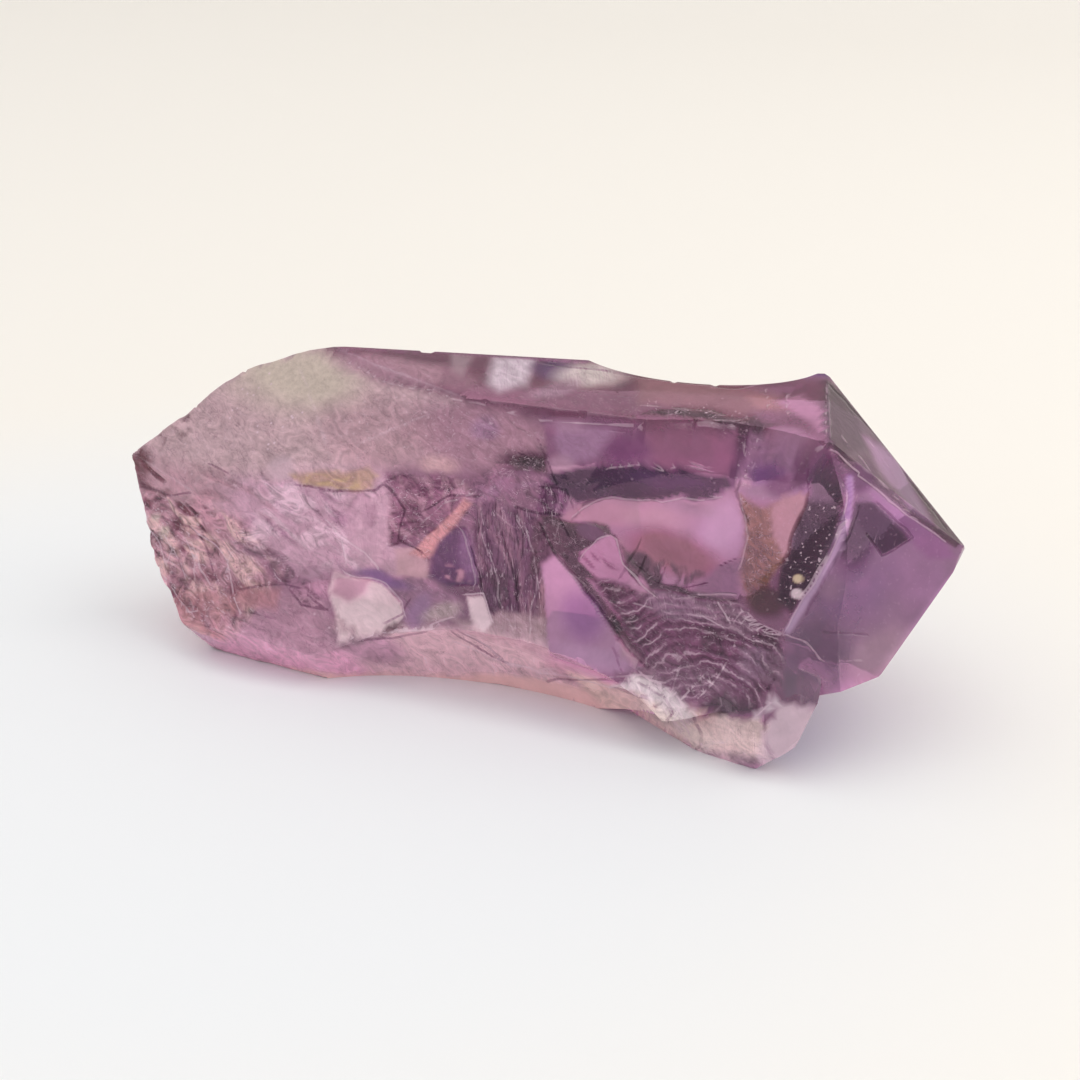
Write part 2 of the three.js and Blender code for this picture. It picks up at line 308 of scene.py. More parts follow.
def lean(turn):
    """The angle for an even turn round the crystal, with the angles packed closer on the front."""
    off = turn - FRONT_ANGLE
    return turn - FRONT_LEAN * (np.sin(off) - LEAN_WIDTH / 3 * np.sin(3 * off))


def snap_to_edges(place, turn, ring_step, spoke_step):
    """Slides net points onto the nearest edge between two surfaces, by halving, so that edges are sharp."""
    met = measure(place.ravel(), lean(turn.ravel()))[3].reshape(place.shape)
    best = np.full(place.shape, np.inf)
    new_place, new_turn = place.copy(), turn.copy()
    for ring, spoke in NEIGHBOURS:
        other = np.roll(met, (-ring, -spoke), (0, 1))
        rows, columns = np.nonzero((other != met)[1:-1])
        rows = rows + 1
        own = met[rows, columns]

        def same(share):
            """Whether the surface is still the point's own, that share of the way to its neighbour."""
            places = place[rows, columns] + ring * share * ring_step
            turns = turn[rows, columns] + spoke * share * spoke_step
            return measure(places, lean(turns))[3] == own

        low, high = np.zeros(len(rows)), np.full(len(rows), SNAP)
        near = ~same(high)
        for _ in range(HALVINGS):
            middle = (low + high) / 2
            keep = same(middle)
            low, high = np.where(keep, middle, low), np.where(keep, high, middle)
        length = low * np.hypot(ring, spoke)
        take = near & (length < best[rows, columns])
        spot = rows[take], columns[take]
        best[spot] = length[take]
        new_place[spot] = place[spot] + ring * low[take] * ring_step
        new_turn[spot] = turn[spot] + spoke * low[take] * spoke_step
    return new_place, new_turn


def make_net():
    """The net's ring places and turns, as arrays of rings by spokes, and its points with their shares.

    Each end ring is one point repeated.
    """
    even_turns = np.arange(SPOKES) * 2 * np.pi / SPOKES
    place, turn = np.meshgrid(np.linspace(-1, 1, RINGS), even_turns, indexing="ij")
    place, turn = snap_to_edges(place, turn, 2 / (RINGS - 1), 2 * np.pi / SPOKES)
    return place, turn, *surface_points(place.ravel(), lean(turn.ravel()))


def net_faces(place, turn, points):
    """Triangles over the net: each opening is split along the diagonal that is nearer to the surface."""
    ring, spoke = np.meshgrid(np.arange(1, RINGS - 2), np.arange(SPOKES), indexing="ij")
    ring, spoke = ring.ravel(), spoke.ravel()
    following = (spoke + 1) % SPOKES
    corners = [(ring, spoke), (ring + 1, spoke), (ring + 1, following), (ring, following)]
    a, b, c, d = [r * SPOKES + s for r, s in corners]
    flat_place, flat_turn = place.ravel(), turn.ravel()
    wrap = np.where(following == 0, 2 * np.pi, 0)
    turns = [flat_turn[a], flat_turn[b], flat_turn[c] + wrap, flat_turn[d] + wrap]
    places = [flat_place[k] for k in (a, b, c, d)]

    def area(i, j, k):
        """Twice the signed area of a triangle on the unrolled net."""
        one = (places[j] - places[i]) * (turns[k] - turns[i])
        return one - (places[k] - places[i]) * (turns[j] - turns[i])

    def sag(i, k, p, q):
        """How far the surface stands off a diagonal's middle."""
        middle = surface_points((places[i] + places[k]) / 2, lean((turns[i] + turns[k]) / 2))[0]
        return np.linalg.norm(middle - (points[p] + points[q]) / 2, axis=1)

    split_ac = np.minimum(area(0, 1, 2), area(0, 2, 3))
    split_bd = np.minimum(area(0, 1, 3), area(1, 2, 3))
    both_good = np.minimum(split_ac, split_bd) > 0
    use_ac = np.where(both_good, sag(0, 2, a, c) <= sag(1, 3, b, d), split_ac > split_bd)[:, None]
    first = np.where(use_ac, np.stack([a, c, b], 1), np.stack([a, d, b], 1))
    second = np.where(use_ac, np.stack([a, d, c], 1), np.stack([b, d, c], 1))
    around, after = np.arange(SPOKES), (np.arange(SPOKES) + 1) % SPOKES
    last = (RINGS - 1) * SPOKES
    start_cap = np.stack([0 * around, SPOKES + after, SPOKES + around], 1)
    end_cap = np.stack([0 * around + last, last - SPOKES + around, last - SPOKES + after], 1)
    return np.concatenate([first, second, start_cap, end_cap])


# The front chart: the stone's visible side, drawn flat on the front face as x along the crystal and up the
# face. Its marks fade in between these two shares of facing the sight.
SIGHT = (-0.347, 0.860, -0.375)
FACING_START = 0.02
FACING_EDGE = 0.16

# The weave of a mark: where its noise starts to show the mark and where it shows it in full
WEAVE_START = -0.05
WEAVE_FULL = 0.45

# How streaks bend, in widths and in turns for each length, and how far borders wander, in mm
STREAK_BEND = 0.8
STREAK_TURN = 1.7
STREAK_SEED = 200
WANDER = 1.3


def chart_of(points):
    """Where points fall on the front face when carried along the line of sight: x along it, and up it."""
    sight, front = np.array(SIGHT), unit(FRONT)
    far = ((np.array(SHOULDER_FRONT) - points) @ front) / (sight @ front)
    carried = points + sight * far[:, None]
    return carried[:, 0], (carried - SHOULDER_FRONT) @ unit(UP_THE_FRONT)


def fade(value, low=0.0, high=1.0):
    """A smooth rise from 0 at low to 1 at high."""
    t = np.clip((value - low) / (high - low), 0, 1)
    return t * t * (3 - 2 * t)


def strokes(places):
    """The straight strokes between neighbouring places, each as its two ends."""
    return zip(places[:-1], places[1:])


def off_stroke(x, up, start, end):
    """Distance to a straight stroke."""
    x0, up0 = start
    run, rise = np.subtract(end, start)
    along = np.clip(((x - x0) * run + (up - up0) * rise) / (run * run + rise * rise), 0, 1)
    return np.hypot(x - x0 - along * run, up - up0 - along * rise)


def to_strokes(x, up, places):
    """Distance to the nearest of the strokes between neighbouring places."""
    return np.min([off_stroke(x, up, start, end) for start, end in strokes(places)], axis=0)


def patch(*corners):
    """A many-sided outline: how far a place is outside it, less than 0 inside."""
    ends = corners + corners[:1]

    def outside(x, up):
        inside = np.zeros(len(x), bool)
        for (x0, up0), (x1, up1) in strokes(ends):
            if up0 != up1:
                inside ^= ((up0 > up) != (up1 > up)) & (x < x0 + (up - up0) * (x1 - x0) / (up1 - up0))
        return to_strokes(x, up, ends) * np.where(inside, -1, 1)
    return outside


def blot(x_middle, up_middle, half_x, half_up, turn=0):
    """An oval outline, turned by some degrees: how far a place is outside it."""
    c, s = np.cos(radians(turn)), np.sin(radians(turn))

    def outside(x, up):
        dx, du = x - x_middle, up - up_middle
        away = np.hypot((dx * c + du * s) / half_x, (du * c - dx * s) / half_up)
        return (away - 1) * min(half_x, half_up)
    return outside


def line(width, *points):
    """A thin line along straight strokes: how far a place is outside it."""
    return lambda x, up: to_strokes(x, up, points) - width / 2


def streaks(angle, length, width):
    """Fine streaks that run at an angle in degrees: noise drawn out along them, from -1 to 1."""
    c, s = np.cos(radians(angle)), np.sin(radians(angle))

    def at(x, up):
        along, across = x * c + up * s, up * c - x * s
        bend = STREAK_BEND * width * np.sin(along / length * STREAK_TURN + across)
        places = np.stack([along / length, (across + bend) / width, 0 * x + angle], 1)
        return rough(places, size=1.0, octaves=2, seed=int(angle) + STREAK_SEED)
    return at


def speckle(size):
    """Small grains: noise of one size, from -1 to 1."""
    return lambda x, up: rough(np.stack([x, up, 0 * x + size], 1), size, octaves=2, seed=57)


# Finishes: how milky the stone is there, how rough, and how frosted
GLASSY = (0.46, 0.05, 0.0)
SATIN = (0.68, 0.14, 0.25)
# UNDERSIDE is nearly all milky, so that the glow painted under the stone's lower edge shows in full
UNDERSIDE = (0.94, 0.12, 0.0)
LIMPID = (0.16, 0.06, 0.0)
MILKY = (0.84, 0.30, 0.55)
FROSTED = (0.94, 0.62, 1.0)
DENSE = (0.82, 0.10, 0.2)

# Shares of the fine line patterns that the material draws: scratches, fibres, ripples and tangled cracks
PLAIN = (0.0, 0.0, 0.0, 0.0)
SCRATCHED = (1.0, 0.0, 0.0, 0.0)
FIBROUS = (0.0, 1.0, 0.0, 0.0)
TANGLED = (0.0, 0.0, 0.0, 1.0)
FEATHERED = (0.0, 0.7, 0.5, 0.0)
FAINT = (0.32, 0.0, 0.0, 0.28)
HINTED = (0.2, 0.0, 0.0, 0.25)

# Colours as the eye sees them on the stone in soft light, 0 to 255
PALE = (192, 172, 166)
MAUVE = (150, 112, 136)
DEEP = (92, 60, 88)
VIOLET = (126, 88, 132)
LILAC = (176, 140, 166)


class Mark:
    """A place on the front with its own colour and finish, laid over the ones before it.

    soft is how wide its border fades and ragged how far the border wanders, both in mm. A weave breaks it
    into streaks or grains. lift raises it above the stone, or sinks it where it is below 0. drawn says how
    much of each fine line pattern the material draws there.
    """

    def __init__(self, outline, colour, finish=SATIN, strength=1.0, soft=0.5, ragged=0.25, weave=None,
                 lift=0.0, drawn=PLAIN):
        self.outline, self.colour, self.finish, self.strength = outline, colour, finish, strength
        self.soft, self.ragged, self.weave, self.lift, self.drawn = soft, ragged, weave, lift, drawn

    def cover(self, x, up, wander):
        """How far the mark covers each place, 0 to 1."""
        outside = self.outline(x + self.ragged * wander[0], up + self.ragged * wander[1])
        cover = self.strength * fade(0.5 - outside / self.soft)
        return cover if self.weave is None else cover * fade(self.weave(x, up), WEAVE_START, WEAVE_FULL)


DISH = patch((10.5, -14.6), (16, -15.2), (24, -14.8), (26.2, -16.2), (28.6, -17.1), (29.3, -19),
             (28.6, -21.6), (27, -23.4), (22.3, -24.4), (20, -23.2), (17, -21.2), (14, -18.2))
FIBRES = patch((-2, -9), (4.6, -9.6), (6.4, -14), (7.3, -19), (5.2, -21.6), (1, -20), (-0.6, -16))
CRACKLE = patch((-11, -8.2), (-4, -7.6), (-1.5, -9), (-3, -10.5), (-6.6, -13.8), (-9.6, -14.8),
                (-10.4, -12))
WISPS = patch((-24, -9.6), (-9, -9.2), (-9.4, -17), (-14, -18.2), (-25, -17.4))
LOW_LEFT = patch((-37, -13), (-25, -14.2), (-19.5, -18.6), (-24, -25.6), (-31, -25.6), (-36.4, -18))
TOP_BAND = patch((-21, 3.4), (-18.6, 2.4), (-17, 1.6), (-15, 0.9), (-13, 0.3), (-9, 0), (-5, -0.4),
                 (0, -0.9), (5, -1.1), (12, -1.0), (16, -0.8), (21, -0.5), (29.4, -0.2), (30.5, 6),
                 (-21, 6))
WINDOW = patch((7.7, -9.9), (8.6, -8.4), (11, -7.4), (15, -7.1), (17.2, -6.3), (18.5, -6.6), (20.5, -6.1),
               (21.4, -5.2), (23.5, -7.3), (24, -9.5), (23.6, -11), (22, -12), (21, -13.5), (19, -14.5),
               (16.5, -14.3), (14.5, -13.2), (12.5, -11), (10.5, -10.2))
LILAC_FACET = patch((5, -11), (7, -13.5), (10.5, -16.5), (13.5, -19.5), (17, -22), (13, -22.8), (8, -22.3),
                    (7.2, -20), (6.3, -16.5), (5, -13.5))
LEAF = patch((9, -12.6), (11.3, -10.7), (11.9, -10.8), (14, -14), (16.6, -15.6), (13, -15.2), (11, -14.8),
             (9, -13.5))
TIP_SIDE = patch((30, 0), (32, -3), (32.3, -7), (31, -11), (29, -16.5), (29.2, -22), (33, -22), (45, -12),
                 (45, -4))
INCLUSIONS = patch((28.6, -5.5), (31, -3.2), (31.7, -8), (30.6, -11.5), (29, -15), (27.8, -14), (27.4, -11),
                   (28.3, -8.5))
GOLDEN = patch((-21.2, -9.6), (-19.9, -10.3), (-16.3, -10.2), (-14.3, -10.0), (-12.3, -9.5), (-11.7, -8.4),
               (-12.7, -7.7), (-15.5, -8.2), (-17.7, -9.0))
BEIGE_WINDOW = patch((-14.5, -17.8), (-12, -18.2), (-9.5, -18.4), (-7.4, -19.8), (-6.8, -20.9),
                     (-7.8, -22.4), (-10.5, -23.5), (-12.8, -23.9), (-13.8, -21.5), (-14.8, -19.8))

MARKS = [
    # Broad fields of the broken half
    Mark(blot(-31, -16, 11, 9), (180, 140, 153), MILKY, soft=5, drawn=FAINT),
    Mark(blot(-17, -13, 11, 6), (188, 148, 167), MILKY, soft=3.5, drawn=FAINT),
    Mark(patch((-42, -9), (-33, 4), (-20, 7), (-4, 1), (-7, -6), (-20, -9), (-30, -10.5)), (192, 160, 167),
         FROSTED, soft=3.5, drawn=FAINT),
    Mark(blot(-25, 0.5, 9, 4, -10), (194, 170, 168), FROSTED, soft=3.5, drawn=(0.15, 0, 0, 0.1)),
    Mark(blot(-23, 0.5, 7, 2.6, -10), (198, 182, 170), FROSTED, 0.75, soft=2.5),
    Mark(blot(-3, -3.6, 8, 3.2, -4), (170, 130, 148), SATIN, soft=2.5, drawn=FAINT),
    Mark(blot(-13, -4.5, 6, 3.5), (176, 138, 150), MILKY, 0.7, soft=3, drawn=(0.25, 0, 0, 0.4)),
    Mark(blot(-6, -6.6, 1.8, 0.9), (198, 158, 164), MILKY, 0.75, 1, drawn=FAINT),
    Mark(blot(-25, -8, 8, 2), (185, 155, 162), FROSTED, 0.6, soft=2, drawn=FAINT),
    Mark(patch((-11, -8), (-3, -7.5), (3, -5), (6.5, -8), (7, -20), (1, -21), (-2, -17.5), (-6, -17),
               (-8, -15), (-10.5, -14)), (136, 100, 121), DENSE, soft=1.2, drawn=(0.4, 0, 0, 0.6)),
    Mark(patch((-14, -22.5), (-6, -21.4), (2, -21), (8, -23), (13, -23.5), (12, -28), (-14, -28)),
         (173, 143, 152), MILKY, soft=1.4, drawn=(0.35, 0, 0, 0.2)),
    Mark(patch((-27, -22), (-15, -19.5), (-13, -24), (-8, -28), (-27, -28)), (168, 128, 147), MILKY, soft=2,
         drawn=FAINT),
    Mark(blot(-10, -24.4, 4, 1.5, -10), (130, 102, 118), MILKY, 0.85, soft=1.2, drawn=(0.5, 0, 0, 0.2)),
    Mark(blot(1, -23.2, 6, 1.3, 4), (180, 150, 158), MILKY, 0.8, soft=1.2, drawn=FAINT),

    # The rim of the broken end
    Mark(patch((-42, -10), (-34, -3), (-31, -3), (-33.5, -7), (-39, -11)), (114, 86, 94), FROSTED, 0.9, 1.2,
         weave=speckle(0.9), lift=-0.12, drawn=(0.2, 0, 0, 0.9)),
    Mark(patch((-42, -10), (-31, -3), (-33.5, -7), (-39, -11)), (168, 140, 144), FROSTED, 0.6, 1,
         weave=speckle(0.7), lift=0.1, drawn=(0, 0, 0, 0.7)),
    Mark(blot(-36.3, -11.4, 3.4, 2.1, -10), (104, 62, 78), DENSE, 0.85, 1, weave=streaks(-12, 3, 0.8),
         lift=-0.12, drawn=(0.7, 0, 0, 0.3)),
    Mark(blot(-38.6, -10.6, 2.2, 1.7), (112, 76, 86), MILKY, 0.85, 1, drawn=(0.3, 0, 0, 0.6)),
    Mark(blot(-30, -12.5, 8, 2.2, -6), (158, 119, 132), MILKY, 0.7, 1.6, weave=streaks(-6, 4, 0.9),
         lift=-0.1, drawn=(0.6, 0, 0, 0.3)),
    Mark(blot(-27.5, -15.2, 2.6, 1.1, -10), (138, 96, 118), SATIN, 0.7, 1, drawn=(0.8, 0, 0, 0.3)),

    # Streaks and ledges of the broken end's lower part
    Mark(LOW_LEFT, (174, 132, 147), SATIN, 0.85, 1.5, drawn=(0.9, 0, 0, 0.45)),
    Mark(LOW_LEFT, (94, 56, 74), DENSE, 0.85, 0.8, weave=streaks(-24, 3.2, 0.8), lift=-0.16,
         drawn=(1, 0, 0, 0.8)),
    Mark(LOW_LEFT, (212, 174, 176), SATIN, 0.7, 0.8, weave=streaks(-32, 2.6, 0.65), lift=0.12,
         drawn=(1, 0, 0, 0.6)),
    Mark(blot(-34, -16.8, 2.2, 1.7), (184, 162, 158), MILKY, 0.9, 0.8, weave=speckle(1.4), drawn=TANGLED),
    Mark(patch((-33, -21), (-30, -21.6), (-24, -22), (-25, -26), (-30, -26.5)), (176, 130, 138), SATIN, 0.8,
         0.8, weave=streaks(-4, 4, 0.7), lift=0.12, drawn=(0.9, 0, 0, 0.2)),
    Mark(patch((-33, -20.6), (-24.5, -20), (-19, -19.2), (-20, -20.4), (-25, -21.4)), (134, 92, 107), DENSE,
         0.8, 0.7, weave=streaks(4, 3, 0.7), lift=-0.12, drawn=(0.8, 0, 0, 0.4)),
    Mark(patch((-24.5, -20.6), (-19.6, -20.2), (-19.6, -22.2), (-24.6, -22.6)), (176, 128, 139), SATIN, 0.8,
         0.9, drawn=FAINT),

    # Wispy lavender field
    Mark(WISPS, (150, 112, 136), SATIN, 0.6, 2, weave=streaks(-28, 2.6, 0.9), lift=-0.1,
         drawn=(0.8, 0, 0, 0.7)),
    Mark(WISPS, (214, 180, 196), SATIN, 0.6, 2, weave=streaks(-18, 2.4, 0.8), lift=0.08,
         drawn=(0.8, 0, 0, 0.7)),
    Mark(patch((-15, -10.4), (-9.5, -10.2), (-9.6, -15), (-6, -16.4), (-8, -17.4), (-13, -16.4)),
         (190, 153, 170), SATIN, 0.85, 0.9, drawn=(0, 0.3, 0, 0.2)),
    Mark(patch((-15, -10.4), (-9.5, -10.2), (-9.6, -16), (-13, -16.4)), (166, 128, 148), SATIN, 0.6, 0.8,
         weave=streaks(70, 2.6, 0.7), lift=-0.08, drawn=(0, 0.4, 0, 0.3)),
    Mark(blot(-21, -18, 4.5, 1.2, -14), (132, 96, 116), DENSE, 0.8, 0.8, weave=streaks(-22, 2.4, 0.7),
         lift=-0.12, drawn=(0.8, 0, 0, 0.4)),
    Mark(blot(-17.6, -20.2, 3, 1.1, -8), (108, 76, 96), DENSE, 0.9, 0.7, weave=streaks(-30, 1.8, 0.6),
         lift=-0.12, drawn=(0.6, 0, 0, 0.8)),
    Mark(blot(-22.2, -9, 1.4, 1.2), (196, 165, 178), MILKY, 0.7, 1),
    Mark(GOLDEN, (180, 145, 138), SATIN, 0.9, 0.7, 0.5, drawn=(0, 0.2, 0, 0.5)),
    Mark(GOLDEN, (196, 164, 138), SATIN, 0.7, 0.7, weave=streaks(24, 1.4, 0.6), lift=0.1,
         drawn=(0, 0, 0, 0.7)),

    # Crackled dark break and the hole under it
    Mark(CRACKLE, (138, 98, 119), DENSE, 0.9, 0.8, 0.5, lift=-0.2, drawn=(0, 0.2, 0, 1)),
    Mark(CRACKLE, (108, 72, 94), DENSE, 0.75, 0.6, weave=streaks(28, 2.0, 0.55), lift=-0.15,
         drawn=(0, 0.3, 0, 1)),
    Mark(CRACKLE, (174, 136, 152), SATIN, 0.6, 0.6, weave=streaks(-52, 1.7, 0.55), lift=0.12,
         drawn=TANGLED),
    Mark(patch((-5.6, -14), (-4.6, -12.4), (-2.5, -12.2), (-1, -14.5), (-0.2, -17), (-3, -17.7),
               (-5.2, -16.8)), (106, 76, 106), DENSE, 0.95, 0.7, lift=-0.35, drawn=(0, 0.2, 0, 0.35)),
    Mark(blot(-1.6, -14.6, 0.9, 2.2, 20), (138, 104, 136), SATIN, 0.8, 0.9, drawn=(0, 0.4, 0, 0)),
    Mark(blot(-2.6, -16.4, 1.4, 0.7, -20), (188, 140, 158), SATIN, 0.8, 0.5, weave=speckle(0.7)),
    Mark(patch((-9, -15), (-7, -14.6), (-5.6, -15.6), (-5.2, -17.5), (-8.4, -17.2)), (188, 151, 160), SATIN,
         0.85, 0.6),
    Mark(patch((-3.1, -9.2), (-4.1, -11), (-5.4, -12.8), (-6.8, -14.6), (-7.5, -15.5), (-5.8, -15.2),
               (-4.9, -13.8), (-3.3, -12), (-2.3, -9.7)), (200, 144, 148), SATIN, 0.9, 0.5, 0.35, lift=0.15,
         drawn=(0.3, 0.2, 0, 0.6)),

    # Fibrous middle
    Mark(FIBRES, (114, 84, 105), DENSE, 0.9, 0.9, 0.4, drawn=FIBROUS),
    Mark(FIBRES, (96, 66, 88), DENSE, 0.72, 0.7, weave=streaks(-74, 4.2, 0.65), lift=-0.16, drawn=FIBROUS),
    Mark(FIBRES, (150, 114, 132), SATIN, 0.6, 0.7, weave=streaks(-70, 3.4, 0.6), lift=0.12, drawn=FIBROUS),
    Mark(patch((5.4, -13.5), (6.6, -16.5), (7.4, -20.4), (5.8, -20.6), (5, -17)), (158, 121, 135), SATIN,
         0.8, 0.6, weave=streaks(-76, 3, 0.7), drawn=FIBROUS),
    Mark(patch((-2.4, -20.4), (0, -21.6), (3, -22.2), (8.2, -22.6), (8, -19.2), (5, -19), (2.4, -18.8),
               (1.2, -20)), (178, 146, 157), SATIN, 0.8, 0.9, drawn=(0.4, 0.3, 0, 0)),
    Mark(blot(2.6, -5.4, 2.6, 1.1, 8), (82, 56, 74), DENSE, 0.85, 1, 0.5, lift=-0.12, drawn=TANGLED),
    Mark(blot(2, -7.6, 5, 1.2, 16), (150, 112, 138), SATIN, 0.6, 1, weave=streaks(18, 2.6, 0.7), lift=0.1,
         drawn=(0.3, 0, 0, 0.6)),
    Mark(blot(5.6, -8.2, 2.1, 1.5, 80), (106, 66, 98), DENSE, 0.9, 0.8, lift=-0.12, drawn=(0, 1, 0, 0.4)),
    Mark(blot(5.6, -8.2, 1.8, 1.4, 80), (166, 130, 152), SATIN, 0.7, 0.6, weave=streaks(-82, 2.4, 0.55),
         lift=0.1, drawn=FIBROUS),
    Mark(blot(-2.3, -2.7, 1.4, 1.1), (158, 122, 148), SATIN, 0.8, 0.8, lift=-0.1, drawn=TANGLED),

    # Low windows
    Mark(patch((-13.6, -17.4), (-9, -17.3), (-5, -17.2), (-1.4, -18.8), (-0.8, -20), (-4.4, -20.6),
               (-5.8, -22), (-7.4, -21), (-8, -19)), (158, 120, 143), SATIN, 0.9, 0.6, drawn=FAINT),
    Mark(blot(-5.4, -20.2, 1, 1.6, -20), (166, 130, 164), GLASSY, 0.6, 1),
    Mark(blot(-9.6, -17.8, 2.6, 0.5, -8), (134, 100, 144), SATIN, 0.7, 0.6),
    Mark(patch((-17.4, -19.6), (-15, -18), (-13.4, -17.8), (-13.4, -21), (-15, -20.6)), (170, 128, 150),
         SATIN, 0.85, 0.6, drawn=(0, 0.4, 0, 0.5)),
    Mark(BEIGE_WINDOW, (228, 198, 206), DENSE, 0.95, 0.35, 0.12, lift=-0.2, drawn=(0.1, 0, 0, 0.12)),
    Mark(patch((-14.4, -17.9), (-10.6, -18.2), (-11, -19.6), (-12.6, -20.4), (-14.6, -20)), (168, 124, 144),
         DENSE, 0.85, 0.9),
    Mark(patch((-14, -20.6), (-11.6, -21.4), (-11, -23.6), (-13, -23.9)), (168, 136, 148), SATIN, 0.7, 0.7,
         weave=streaks(-60, 1.8, 0.6), drawn=(0, 0.5, 0, 0.5)),
    Mark(patch((-1, -18.3), (0.6, -18), (1.9, -20.2), (1.2, -21.2), (-0.2, -20.2)), (220, 190, 200), DENSE,
         0.95, 0.35, 0.1, lift=-0.12),
    Mark(blot(-3.2, -20, 1.9, 0.7, 20), (182, 156, 162), SATIN, 0.8, 0.7, drawn=TANGLED),
    Mark(blot(-8, -22.4, 1.1, 0.45, 40), (88, 64, 76), DENSE, 0.9, 0.5),
    Mark(blot(10.4, -23.9, 2.8, 0.8, -10), (138, 104, 118), MILKY, 0.75, 0.9, drawn=(0.5, 0, 0, 0.2)),

    # Painted glow: a pale pink paint on the shaded underside stands in for the light that leaves under the
    # stone's lower edge
    Mark(patch((-27, -28), (-12, -27.5), (-4, -26.6), (3, -25.2), (7, -24.9), (12, -25), (16, -26.2),
               (20.5, -28.4), (22, -31), (-27, -31)), (252, 204, 204), UNDERSIDE, 1, 0.5, 0.1),

    # Top face as seen from the front
    Mark(TOP_BAND, (138, 98, 120), GLASSY, 1, 1.0, 0.1, drawn=(0.15, 0, 0, 0.1)),
    Mark(blot(10, 1.1, 15, 1.1, 1), (136, 95, 117), DENSE, 0.9, 1.2, drawn=(0.2, 0, 0, 0.2)),
    Mark(blot(20, 3.4, 8, 1.1, -4), (142, 98, 108), DENSE, 0.8, 1.2),
    Mark(blot(-12, 1.8, 7, 1.2, -3), (194, 150, 168), SATIN, 0.7, 1, drawn=FAINT),
    Mark(patch((-8, 2.6), (-5.2, 2.8), (-5, 0.2), (-7.8, 0.4)), (150, 108, 130), SATIN, 0.6, 0.5),
    Mark(patch((-7.6, 4.4), (-5, 4.4), (-5.6, 1.8), (-6.8, 2.2)), (180, 150, 164), GLASSY, 0.7, 1),
    Mark(patch((-2.8, 4.6), (1.2, 4.8), (0.6, 1.6), (-1.6, 0.9), (-2.8, 1.6)), (218, 196, 210), SATIN, 0.9,
         1.5, drawn=(0, 0.5, 0, 0.3)),
    Mark(blot(3.4, 3.9, 2.4, 1, 4), (104, 72, 112), DENSE, 0.85, 1),
    Mark(blot(6.9, 3.8, 3, 1, 8), (232, 212, 212), SATIN, 0.95, 1.5, drawn=(0, 0.6, 0, 0.2)),
    Mark(blot(4, 2, 2.6, 0.8, 28), (172, 136, 158), GLASSY, 0.7, 0.9, drawn=(0, 0.7, 0, 0.3)),
    Mark(patch((12, 0.2), (14, 0.9), (16, 1.7), (20, 1.8), (25, 0.9), (22, 0.1), (16, 0.3)), (78, 36, 62),
         DENSE, 0.9, 0.7, 0.4, drawn=(0.3, 0, 0, 0.9)),
    Mark(patch((12, 4), (20, 4), (24, 3), (22, 1.2), (16, 1.6), (12, 1.4)), (152, 110, 121), DENSE, 0.9,
         1.6),
    Mark(patch((24.4, 3.2), (27, 4.3), (28.9, 3.2), (29.1, 0.5), (27.6, 1.5), (26, 2.6)), (180, 130, 158),
         GLASSY, 0.95, 0.5, 0.1),
    Mark(blot(26.6, 1.3, 1.6, 0.7), (124, 84, 106), DENSE, 0.75, 0.8),
    Mark(patch((22, 3.4), (24.6, 3.6), (25.6, 2.4), (23, 2.2)), (172, 126, 130), GLASSY, 0.7, 0.7),

    # Bands under the ridge
    Mark(patch((3, -1), (22.4, -0.5), (22, -3.8), (14, -4.2), (9, -5), (4.6, -5.6)), (152, 110, 138),
         GLASSY, 0.9, 0.6, drawn=(0.12, 0, 0, 0.1)),
    Mark(patch((13, -1.2), (22, -0.8), (21.6, -3.6), (14.6, -4)), (158, 112, 138), GLASSY, 0.9, 1.2),
    Mark(patch((5, -1.4), (10, -1.6), (9, -4), (6, -4.8), (4.6, -3)), (170, 130, 159), GLASSY, 0.9, 0.9,
         0.4, drawn=(0, 0, 0, 0.35)),
    Mark(blot(5.8, -1.6, 1.8, 0.6), (178, 136, 162), SATIN, 0.8, 0.8),
    Mark(blot(5.6, -5, 1.2, 0.8), (182, 142, 164), SATIN, 0.7, 0.9),
    Mark(blot(11.6, -3, 2.2, 1.2, 14), (136, 93, 126), GLASSY, 0.7, 1.2),
    Mark(patch((4.4, -6.2), (8, -5), (12, -4.4), (15, -4.0), (21, -3.9), (21.9, -5), (20.6, -6.1),
               (18.5, -6.7), (17.2, -6.4), (15, -7.2), (12, -7.4), (10, -7.8), (8, -8.3), (6, -7.4)),
         (80, 34, 80), DENSE, 0.97, 0.5, 0.12, drawn=(0.15, 0, 0, 0)),
    Mark(blot(16, -5.2, 4, 0.8, 3), (106, 68, 106), DENSE, 0.6, 1.2),
    Mark(blot(8.4, -6.9, 2.8, 0.8, 8), (82, 58, 84), DENSE, 0.8, 0.7, weave=streaks(14, 2, 0.5), lift=-0.1,
         drawn=(0.6, 0, 0, 0.5)),
    Mark(patch((22.4, -0.6), (28.6, -0.6), (28.6, -5), (24, -5.6), (22, -4.8)), (160, 122, 150), GLASSY,
         0.9, 0.6, drawn=(0, 0.2, 0, 0.3)),
    Mark(blot(26, -0.1, 2.2, 0.8), (162, 122, 148), SATIN, 0.8, 0.8),
    Mark(blot(24.6, -3.4, 1.6, 1.1), (118, 88, 124), GLASSY, 0.7, 1.1),
    Mark(blot(24.6, -4.9, 1.6, 0.6), (146, 116, 136), SATIN, 0.8, 0.6),
    Mark(blot(26.2, -4.2, 1.4, 0.9), (120, 82, 110), DENSE, 0.8, 0.8),
    Mark(patch((26.8, -0.8), (28.5, -0.8), (28.5, -4.6), (27, -4.4)), (100, 62, 92), DENSE, 0.8, 0.6, 0.2),
    Mark(patch((22.2, -0.6), (23.4, -0.6), (23.8, -4.8), (22.4, -4.8)), (178, 138, 158), SATIN, 0.8, 0.6,
         weave=speckle(0.9), lift=-0.08, drawn=TANGLED),
